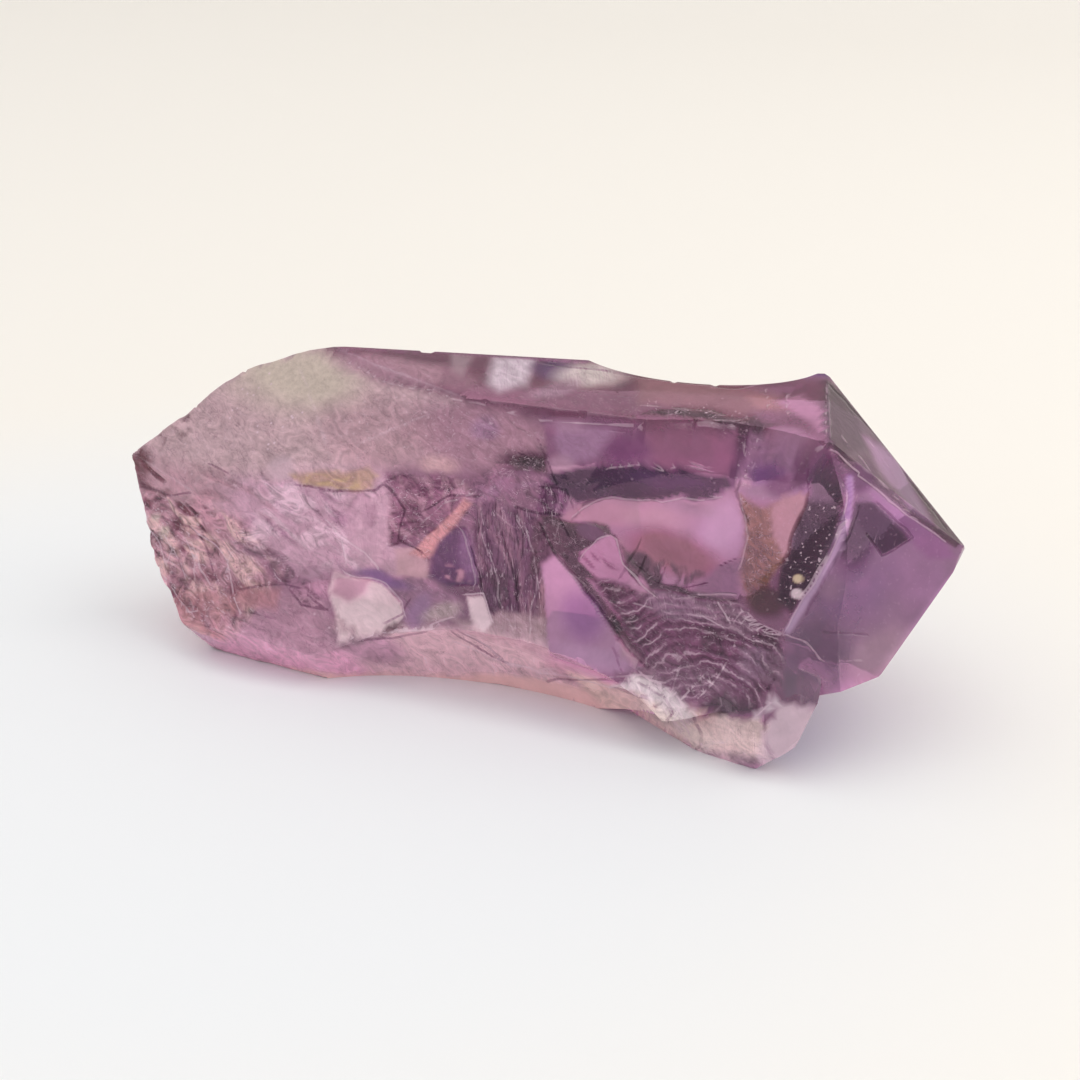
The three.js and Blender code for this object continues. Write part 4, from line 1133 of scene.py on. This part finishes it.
def make_crystal():
    """The whole stone as one closed mesh, with its marks laid on and raised or sunk.

    Its edge number runs from 0 to 1 where two flat faces meet: it is twice the second face's share.
    """
    place, turn, points, weights = make_net()
    faces = net_faces(place, turn, points)
    used = np.unique(faces)
    number = np.zeros(len(points), int)
    number[used] = np.arange(len(used))
    points, weights, faces = points[used], weights[:, used], number[faces]
    normals = vertex_normals(points, faces)
    even_normals = even_out(normals, faces, rounds=4)
    facing = fade(even_normals @ -unit(SIGHT), FACING_START, FACING_EDGE)
    colour, finish = body_paint(points, weights)
    colour, finish, lift, drawn, lines, across = lay_marks(points, colour, finish, facing)
    crystal = make_piece("amethyst_crystal", points + normals * lift[:, None], faces, sharp=30)
    add_colours(crystal, "tone", paint_for(colour, finish[:, 0], even_normals))
    add_colours(crystal, "finish", finish)
    add_colours(crystal, "drawn", drawn)
    # The material paints this edge number pale, partly as worn chips and partly as a painted highlight where
    # the edge catches the light
    edge = 2 * np.sort(weights[:len(CRYSTAL) + len(FOOT)], axis=0)[-2]
    add_colours(crystal, "lines", np.column_stack([lines, edge]))
    add_colours(crystal, "across", across)
    return crystal


# Thin lines: half their width in mm, the share of it that is drawn in full, how strongly wear breaks them and
# thins them, and the nearness from which they show
PALE_LINE = 0.12
DARK_LINE = 0.17
LINE_CORE = 0.4
WEAR = 0.7
WEAR_THINS = 0.1
LINE_SHOWS = (0.3, 0.6)

# Between which values the other patterns come in: the noise that breaks the dark and the pale fine lines, the
# noise that strews specks, a ripple's crest and trough, and the stone's edges, painted pale partly as worn
# chips and partly as a painted highlight
BREAKS = (0.40, 0.58)
GAPS = (0.42, 0.60)
SPECKS_SHOW = (0.69, 0.75)
CREST = (0.55, 1.0)
TROUGH = (-1.0, 0.1)
EDGE_SHOWS = (0.78, 1.05)
EDGE_WEAR_AND_HIGHLIGHT = 0.6

# The fine patterns on the front chart: the angle of their lines in degrees, how long and how wide apart the
# lines are in mm, how thin they are, and how much they bend
PALE_SCRATCH = {"angle": -25, "length": 2.6, "width": 0.42, "thin": 0.022}
DARK_SCRATCH = {"angle": -34, "length": 1.9, "width": 0.5, "thin": 0.035}
PALE_FIBRE = {"angle": -71, "length": 3.6, "width": 0.42, "thin": 0.028, "bend": 0.8}
DARK_FIBRE = {"angle": -75, "length": 2.6, "width": 0.40, "thin": 0.065, "bend": 0.6}
PALE_TANGLE = {"angle": 20, "length": 1.5, "width": 0.8, "thin": 0.018, "bend": 1.4}
DARK_TANGLE = {"angle": -40, "length": 1.5, "width": 0.9, "thin": 0.034, "bend": 1.3}
SMEAR = {"angle": -28, "length": 2.4, "width": 1.1}

# The ripples of the large shell-shaped break: their middle on the front chart, their spacing in mm, how much
# they are squashed along the stone, and by how many spacings noise bends them
RIPPLE_MIDDLE = (22.2, -25.6)
RIPPLE_SPACING = 0.85
RIPPLE_SQUASH = 0.85
RIPPLE_BEND = 2.8
TURN = 2 * np.pi

# How strongly each pattern shows where it is drawn in full
PALE_SHOW = {"scratch": 0.64, "fibre": 0.48, "tangle": 0.68, "ripple": 0.36, "line": 0.55, "speck": 0.6,
             "edge": 0.22}
DARK_SHOW = {"scratch": 0.75, "fibre": 0.8, "tangle": 0.8, "ripple": 0.6, "line": 0.9}

# What dark lines multiply the stone's colour by, the paint of pale lines, and how far both cloud the stone
DARK_LINE_TINT = (0.33, 0.21, 0.31, 1)
PALE_LINE_PAINT = (0.80, 0.58, 0.68, 1)
LINE_CLOUDING = 0.3

# Cloudiness and grain all round the stone, as noise scales for each metre
CLOUD_SCALE = 420.0
GRAIN_SCALE = 1600.0
GLINT_SCALE = 1150.0
GLINT_PATCH_SCALE = 260.0

# Glints, painted as small pale dots that catch the light: between which values they fade out and their patches
# come in, and how strongly they show everywhere and where the stone is frosted
GLINT_FADES = (0.09, 0.2)
GLINT_PATCHES = (0.5, 0.66)
GLINT_SHOW = 0.064
FROST_GLINT_SHOW = 0.56

# How strongly clouds, grain and smears shade the stone, the grain more where it is frosted, and how much fibres
# and ripples bring smears
CLOUD_SHADE = 0.5
GRAIN_SHADE = 0.08
FROST_GRAIN_SHADE = 0.4
SMEAR_SHADE = 1.8
FIBRE_SMEARS = 0.5
RIPPLE_SMEARS = 0.6

# How high clouds, thin lines and ripples stand, as shares of the grain's height on frosted stone
CLOUD_HEIGHT = 0.06
FROST_CLOUD_HEIGHT = 0.8
LINE_HEIGHT = 0.4
RIPPLE_HEIGHT = 0.3
RELIEF = 0.0003
RELIEF_STRENGTH = 0.5

# Quartz: its refraction, how much of the paint its clear part takes, and the violet that its depth absorbs
QUARTZ_IOR = 1.544
CLEAR_WHITENING = 0.45
MILKY_SPECULAR = 0.32
MILKY_ROUGHENING = 0.1
BODY_VIOLET = (0.76, 0.43, 0.60, 1)
BODY_DENSITY = 66.0


class Wire:
    """A number that runs through a material: plus, minus, times and the rest add Math nodes."""

    def __init__(self, shop, socket):
        self.shop, self.socket = shop, socket

    def maths(self, operation, first, second):
        return self.shop.node("Math", {"operation": operation}, {0: first, 1: second}).out()

    def __add__(self, other):
        return self.maths("ADD", self, other)

    def __sub__(self, other):
        return self.maths("SUBTRACT", self, other)

    def __rsub__(self, other):
        return self.maths("SUBTRACT", other, self)

    def __mul__(self, other):
        return self.maths("MULTIPLY", self, other)

    def __truediv__(self, other):
        return self.maths("DIVIDE", self, other)

    __radd__, __rmul__ = __add__, __mul__


class Node:
    """One node of a material."""

    def __init__(self, shop, made):
        self.shop, self.made = shop, made

    def out(self, name=0):
        return Wire(self.shop, self.made.outputs[name])


class Shop:
    """A new material, or a world's node tree, and the tools to wire it."""

    def __init__(self, name, tree=None):
        self.material = bpy.data.materials.new(name) if tree is None else None
        if tree is None:
            self.material.use_nodes = True
            tree = self.material.node_tree
        self.tree = tree
        tree.nodes.clear()

    def node(self, kind, settings, sockets):
        """Adds a node of a type, with its settings set first, then its sockets' values or links."""
        made = self.tree.nodes.new("ShaderNode" + kind)
        for name, value in settings.items():
            setattr(made, name, value)
        for name, value in sockets.items():
            if isinstance(value, Wire):
                self.tree.links.new(value.socket, made.inputs[name])
            else:
                made.inputs[name].default_value = value
        return Node(self, made)

    def step(self, value, low, high, start, end):
        """A smooth step from start, where the value is low, to end, where it is high."""
        return self.node("MapRange", {"interpolation_type": "SMOOTHSTEP"}, {
            "Value": value,
            "From Min": low,
            "From Max": high,
            "To Min": start,
            "To Max": end,
        }).out()

    def rise(self, value, low, high):
        """A smooth rise from 0, where the value is low, to 1, where it is high."""
        return self.step(value, low, high, 0.0, 1.0)

    def fall(self, value, low, high):
        """A smooth fall from 1, where the value is low, to 0, where it is high."""
        return self.step(value, low, high, 1.0, 0.0)

    def size(self, value):
        """A number without its sign."""
        return self.node("Math", {"operation": "ABSOLUTE"}, {0: value}).out()

    def capped_sum(self, first, second):
        """A sum that stays from 0 to 1."""
        return self.node("Math", {"operation": "ADD", "use_clamp": True}, {0: first, 1: second}).out()

    def noise(self, where, scale, detail, roughness=0.5, bend=0.0, dimensions="2D"):
        """Smooth noise round 0.5."""
        return self.node("TexNoise", {"noise_dimensions": dimensions}, {
            "Vector": where,
            "Scale": scale,
            "Detail": detail,
            "Roughness": roughness,
            "Distortion": bend,
        }).out(0)

    def drawn_out(self, chart, angle, length, width):
        """The chart turned by some degrees, with a length along it and a width across it as its units."""
        return self.node("Mapping", {"vector_type": "TEXTURE"}, {
            "Vector": chart,
            "Rotation": (0.0, 0.0, radians(angle)),
            "Scale": (length, width, 1.0),
        }).out()

    def threads(self, chart, angle, length, width, thin, bend=0.3):
        """Fine lines on the chart: where noise that is drawn out along them passes its middle."""
        place = self.drawn_out(chart, angle, length, width)
        along = self.noise(place, 1.0, detail=2.5, roughness=0.55, bend=bend)
        return self.fall(self.size(along - 0.5), 0.0, thin)

    def stroke(self, near, across, worn, half_width):
        """A thin line of a half-width in mm, worn away in places."""
        off = self.size(across - 0.5) * (2 * LINE_FADE)
        body = self.fall(off - worn * WEAR_THINS, half_width * LINE_CORE, half_width)
        return body * self.rise(near + worn, *LINE_SHOWS) * near

    def grey(self, value):
        """A colour with one number in all its parts."""
        return self.node("CombineColor", {}, {"Red": value, "Green": value, "Blue": value}).out()

    def mix(self, blend_type, share, a, b):
        """One colour laid over another."""
        return self.node("Mix", {"data_type": "RGBA", "blend_type": blend_type}, {
            "Factor": share,
            "A": a,
            "B": b,
        }).out(2)


def layer_wires(shop):
    """The numbers that the stone's mesh carries in its colour layers, each by its own name."""
    def parts(layer, *names):
        attribute = shop.node("Attribute", {"attribute_name": layer}, {})
        split = shop.node("SeparateColor", {}, {"Color": attribute.out("Color")})
        wires = split.out("Red"), split.out("Green"), split.out("Blue"), attribute.out("Alpha")
        return dict(zip(names, wires))

    return {
        **parts("finish", "milk", "rough", "frost"),
        **parts("drawn", "scratched", "fibrous", "rippled", "tangled"),
        **parts("lines", "near pale", "near dark", "specked", "edge"),
        **parts("across", "across pale", "across dark"),
    }


def chart_wire(shop, where):
    """Each shaded place on the front chart, as a vector: x along the stone and up the front, in mm."""
    sight, front, upward = np.array(SIGHT), unit(FRONT), unit(UP_THE_FRONT)
    share = sight / (sight @ front)
    offset = np.array(SHOULDER_FRONT) @ front
    to_x, to_up = (np.array(ALONG) - front * share[0]) / MM, (upward - front * (share @ upward)) / MM
    x = shop.node("VectorMath", {"operation": "DOT_PRODUCT"}, {0: where, 1: to_x}).out("Value")
    up = shop.node("VectorMath", {"operation": "DOT_PRODUCT"}, {0: where, 1: to_up}).out("Value")
    x = x + share[0] * offset
    up = up + (share @ upward * offset - np.array(SHOULDER_FRONT) @ upward)
    return shop.node("CombineXYZ", {}, {"X": x, "Y": up, "Z": 0.0}).out()


def ripple_wave(shop, chart):
    """The ripples, from -1 to 1: the sine of the distance to their middle in spacings, bent by noise."""
    from_middle = shop.node("VectorMath", {"operation": "MULTIPLY_ADD"}, {
        0: chart,
        1: (RIPPLE_SQUASH, 1.0, 1.0),
        2: (-RIPPLE_MIDDLE[0] * RIPPLE_SQUASH, -RIPPLE_MIDDLE[1], 0.0),
    }).out()
    radius = shop.node("VectorMath", {"operation": "LENGTH"}, {0: from_middle}).out("Value")
    bent = radius / RIPPLE_SPACING + shop.noise(chart, 0.30, detail=4.0, roughness=0.55) * RIPPLE_BEND
    return shop.node("Math", {"operation": "SINE"}, {0: bent * TURN}).out()


def fine_lines(shop, chart, layer, glint):
    """How pale and how dark the fine lines make each place, and how far they stand out or sink."""
    breaks = shop.rise(shop.noise(chart, 0.55, detail=3.0), *BREAKS)
    gaps = shop.rise(shop.noise(chart, 1.3, detail=2.0), *GAPS)
    worn = (shop.noise(chart, 0.8, detail=4.0, roughness=0.6) - 0.5) * WEAR
    wave = ripple_wave(shop, chart)
    pale_line = shop.stroke(layer["near pale"], layer["across pale"], worn, PALE_LINE)
    dark_line = shop.stroke(layer["near dark"], layer["across dark"], worn, DARK_LINE)
    speck = shop.rise(shop.noise(chart, 2.6, detail=1.0), *SPECKS_SHOW) * layer["specked"]
    # The stone's edges, painted pale: partly worn chips, partly a painted highlight where the edge catches the
    # light
    edge = shop.rise(layer["edge"] + worn * EDGE_WEAR_AND_HIGHLIGHT, *EDGE_SHOWS)
    paleness = shop.capped_sum(
        shop.threads(chart, **PALE_SCRATCH) * gaps * layer["scratched"] * PALE_SHOW["scratch"]
        + shop.threads(chart, **PALE_FIBRE) * gaps * layer["fibrous"] * PALE_SHOW["fibre"]
        + shop.threads(chart, **PALE_TANGLE) * gaps * layer["tangled"] * PALE_SHOW["tangle"]
        + shop.rise(wave, *CREST) * breaks * layer["rippled"] * PALE_SHOW["ripple"]
        + glint,
        pale_line * PALE_SHOW["line"] + speck * PALE_SHOW["speck"] + edge * PALE_SHOW["edge"],
    )
    darkness = shop.capped_sum(
        shop.threads(chart, **DARK_SCRATCH) * breaks * layer["scratched"] * DARK_SHOW["scratch"]
        + shop.threads(chart, **DARK_FIBRE) * layer["fibrous"] * DARK_SHOW["fibre"]
        + shop.threads(chart, **DARK_TANGLE) * breaks * layer["tangled"] * DARK_SHOW["tangle"]
        + shop.fall(wave, *TROUGH) * layer["rippled"] * DARK_SHOW["ripple"],
        dark_line * DARK_SHOW["line"],
    )
    relief = (pale_line - dark_line) * LINE_HEIGHT + wave * layer["rippled"] * RIPPLE_HEIGHT
    return paleness, darkness, relief


def amethyst_material():
    """Clear violet quartz, milky where the finish layer says so and frosted on its breaks.

    Fine scratches, fibres, ripples and cracks are drawn where the drawn layer has them, and thin lines and
    specks where the lines layer has them.
    """
    shop = Shop("amethyst")
    layer = layer_wires(shop)
    milk, rough, frost = layer["milk"], layer["rough"], layer["frost"]
    tone = shop.node("Attribute", {"attribute_name": "tone"}, {}).out("Color")

    # Cloudiness and grain, and painted glints, the same all round the stone
    where = shop.node("TexCoord", {}, {}).out("Object")
    cloud = shop.noise(where, CLOUD_SCALE, detail=3.5, roughness=0.6, dimensions="3D")
    grain = shop.noise(where, GRAIN_SCALE, detail=2.0, roughness=0.7, dimensions="3D")
    in_patch = shop.rise(shop.noise(where, GLINT_PATCH_SCALE, detail=1.0, dimensions="3D"), *GLINT_PATCHES)
    glint_cells = shop.node("TexVoronoi", {}, {"Vector": where, "Scale": GLINT_SCALE}).out("Distance")
    glint = shop.fall(glint_cells, *GLINT_FADES) * in_patch * (frost * FROST_GLINT_SHOW + GLINT_SHOW)

    # Fine lines, and smears where there are many of them
    chart = chart_wire(shop, where)
    paleness, darkness, relief = fine_lines(shop, chart, layer, glint)
    smear = shop.noise(shop.drawn_out(chart, **SMEAR), 1.0, detail=5.0, roughness=0.62, bend=1.6) - 0.5
    busy = layer["scratched"] + layer["tangled"]
    busy = busy + layer["fibrous"] * FIBRE_SMEARS + layer["rippled"] * RIPPLE_SMEARS

    # Colour and relief
    grained = (grain - 0.5) * (frost * FROST_GRAIN_SHADE + GRAIN_SHADE)
    shade = (cloud - 0.5) * CLOUD_SHADE + grained + smear * busy * SMEAR_SHADE + 1.0
    mottled = shop.mix("MULTIPLY", 1.0, tone, shop.grey(shade))
    darkened = shop.mix("MULTIPLY", darkness, mottled, DARK_LINE_TINT)
    marked = shop.mix("MIX", paleness, darkened, PALE_LINE_PAINT)
    height = grain * frost + cloud * (frost * FROST_CLOUD_HEIGHT + CLOUD_HEIGHT) + relief
    bump = shop.node("Bump", {}, {
        "Height": height,
        "Strength": RELIEF_STRENGTH,
        "Distance": RELIEF,
    }).out()

    clear = shop.node("BsdfPrincipled", {}, {
        "Base Color": shop.mix("MIX", CLEAR_WHITENING, marked, (1, 1, 1, 1)),
        "Roughness": rough,
        "IOR": QUARTZ_IOR,
        "Transmission Weight": 1.0,
        "Normal": bump,
    })
    milky = shop.node("BsdfPrincipled", {}, {
        "Base Color": marked,
        "Roughness": rough + MILKY_ROUGHENING,
        "IOR": QUARTZ_IOR,
        "Specular IOR Level": MILKY_SPECULAR,
        "Normal": bump,
    })
    cloudiness = milk + (paleness + darkness) * LINE_CLOUDING
    stone = shop.node("MixShader", {}, {0: cloudiness, 1: clear.out(), 2: milky.out()})
    body = shop.node("VolumeAbsorption", {}, {"Color": BODY_VIOLET, "Density": BODY_DENSITY})
    shop.node("OutputMaterial", {}, {"Surface": stone.out(), "Volume": body.out()})
    return shop.material


# The table in mm: half its width, its front edge, how far back its level part goes, the radius of the bend
# behind it and the bend's steps, and how high the backdrop stands
TABLE_HALF_WIDTH = 900.0
TABLE_FRONT = -500.0
TABLE_DEPTH = 420.0
BEND_RADIUS = 260.0
BEND_STEPS = 24
BACKDROP_TOP = 1400.0

# Its colours: a cooler, bluish white painted as the stone's shade round a place in front of the stone, the warm
# white far from it, and the distances in metres between which one fades into the other
PAINTED_SHADE_WHITE = (0.89, 0.90, 0.915, 1)
FAR_WHITE = (0.955, 0.91, 0.85, 1)
PAINTED_SHADE_MIDDLE = (-0.02, -0.02, 0.0)
NEAR_END, FAR_START = 0.04, 0.10


def table_material():
    """A pale table top: warm white, with a cooler, bluish white painted round the stone as its shade."""
    shop = Shop("table")
    where = shop.node("TexCoord", {}, {}).out("Object")
    away = shop.node("VectorMath", {"operation": "DISTANCE"}, {0: where, 1: PAINTED_SHADE_MIDDLE}).out("Value")
    colour = shop.mix("MIX", shop.rise(away, NEAR_END, FAR_START), PAINTED_SHADE_WHITE, FAR_WHITE)
    top = shop.node("BsdfPrincipled", {}, {"Base Color": colour, "Roughness": 0.6})
    shop.node("OutputMaterial", {}, {"Surface": top.out()})
    return shop.material


def make_table():
    """A level table top that curves up behind the stone into a plain backdrop.

    Its profile is two level strokes, a quarter circle and an upright, carried across the table's width.
    """
    bend = np.linspace(0, np.pi / 2, BEND_STEPS + 1)[1:]
    back = TABLE_DEPTH + BEND_RADIUS * np.sin(bend)
    height = BEND_RADIUS - BEND_RADIUS * np.cos(bend)
    y = np.concatenate([[TABLE_FRONT, 0.0, TABLE_DEPTH], back, [TABLE_DEPTH + BEND_RADIUS]])
    z = np.concatenate([[0.0, 0.0, 0.0], height, [BACKDROP_TOP]])
    x = np.linspace(-TABLE_HALF_WIDTH, TABLE_HALF_WIDTH, 3)
    columns = len(x)
    grid = np.stack([np.tile(x, len(y)), np.repeat(y, columns), np.repeat(z, columns)], 1)
    row, column = np.meshgrid(np.arange(len(y) - 1), np.arange(columns - 1), indexing="ij")
    corner = (row * columns + column).ravel()
    faces = np.stack([corner, corner + 1, corner + columns + 1, corner + columns], 1)
    table = make_piece("table", grid, faces)
    table.data.materials.append(table_material())
    return table


# The camera: how far it stands round to the tip's side and how far up, what it looks at and from how far, in
# mm, its focal length in pixels of the photograph's frame, the frame's width, and the sensor's width in mm
AZIMUTH, ELEVATION = radians(22), radians(22)
LOOK_AT = (4.7, -7.3, 15.2)
CAMERA_DISTANCE = 180
FOCAL_PIXELS = 2000
FRAME_PIXELS = 1080
SENSOR_WIDTH = 36


def make_camera():
    """The camera at the photograph's angle."""
    back = Vector((
        np.sin(AZIMUTH) * np.cos(ELEVATION),
        -np.cos(AZIMUTH) * np.cos(ELEVATION),
        np.sin(ELEVATION),
    ))
    data = bpy.data.cameras.new("camera")
    data.sensor_width = SENSOR_WIDTH
    data.lens = SENSOR_WIDTH * FOCAL_PIXELS / FRAME_PIXELS
    data.clip_start, data.clip_end = 0.01, 10
    camera = bpy.data.objects.new("camera", data)
    camera.location = (Vector(LOOK_AT) + back * CAMERA_DISTANCE) * MM
    camera.rotation_mode = "QUATERNION"
    camera.rotation_quaternion = (-back).to_track_quat("-Z", "Y")
    bpy.context.scene.collection.objects.link(camera)
    bpy.context.scene.camera = camera
    return camera


# The light of a window to the right and behind: its place, what it looks at and its size in metres, and its
# power in watts
WINDOW_PLACE = (0.4, 0.16, 0.46)
WINDOW_TARGET = (0, 0, 0.012)
WINDOW_SIZE = 0.5
WINDOW_POWER = 1.0
WINDOW_COLOUR = (1.0, 0.93, 0.84)

# The sky: its colour, how much each direction lifts it, and its strength where it is darkest and brightest
SKY_COLOUR = (0.97, 0.985, 1.0, 1)
SKY_UP, SKY_RIGHT = 0.9, 0.35
SKY_LOW, SKY_HIGH = -0.5, 0.9
SKY_DIM, SKY_BRIGHT = 0.72, 1.08


def make_window_light():
    """A soft square light that looks at the stone."""
    data = bpy.data.lights.new("window_light", "AREA")
    data.size, data.energy, data.color = WINDOW_SIZE, WINDOW_POWER, WINDOW_COLOUR
    light = bpy.data.objects.new("window_light", data)
    light.location = WINDOW_PLACE
    light.rotation_mode = "QUATERNION"
    light.rotation_quaternion = (Vector(WINDOW_TARGET) - Vector(WINDOW_PLACE)).to_track_quat("-Z", "Y")
    bpy.context.scene.collection.objects.link(light)
    return light


def make_studio():
    """Soft daylight from above and behind, and a dim room on the camera's side."""
    world = bpy.data.worlds.new("studio")
    world.use_nodes = True
    shop = Shop("studio", world.node_tree)
    where = shop.node("TexCoord", {}, {}).out("Generated")
    way = shop.node("SeparateXYZ", {}, {"Vector": where})
    lift = way.out("Y") + way.out("Z") * SKY_UP + way.out("X") * SKY_RIGHT
    strength = shop.step(lift, SKY_LOW, SKY_HIGH, SKY_DIM, SKY_BRIGHT)
    sky = shop.node("Background", {}, {"Color": SKY_COLOUR, "Strength": strength})
    shop.node("OutputWorld", {}, {"Surface": sky.out()})
    bpy.context.scene.world = world
    make_window_light()


bpy.context.scene.view_settings.view_transform = "Standard"
make_camera()
make_table()
make_studio()

crystal = make_crystal()
crystal.data.materials.append(amethyst_material())
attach(crystal, "root")
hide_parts("amethyst_point")
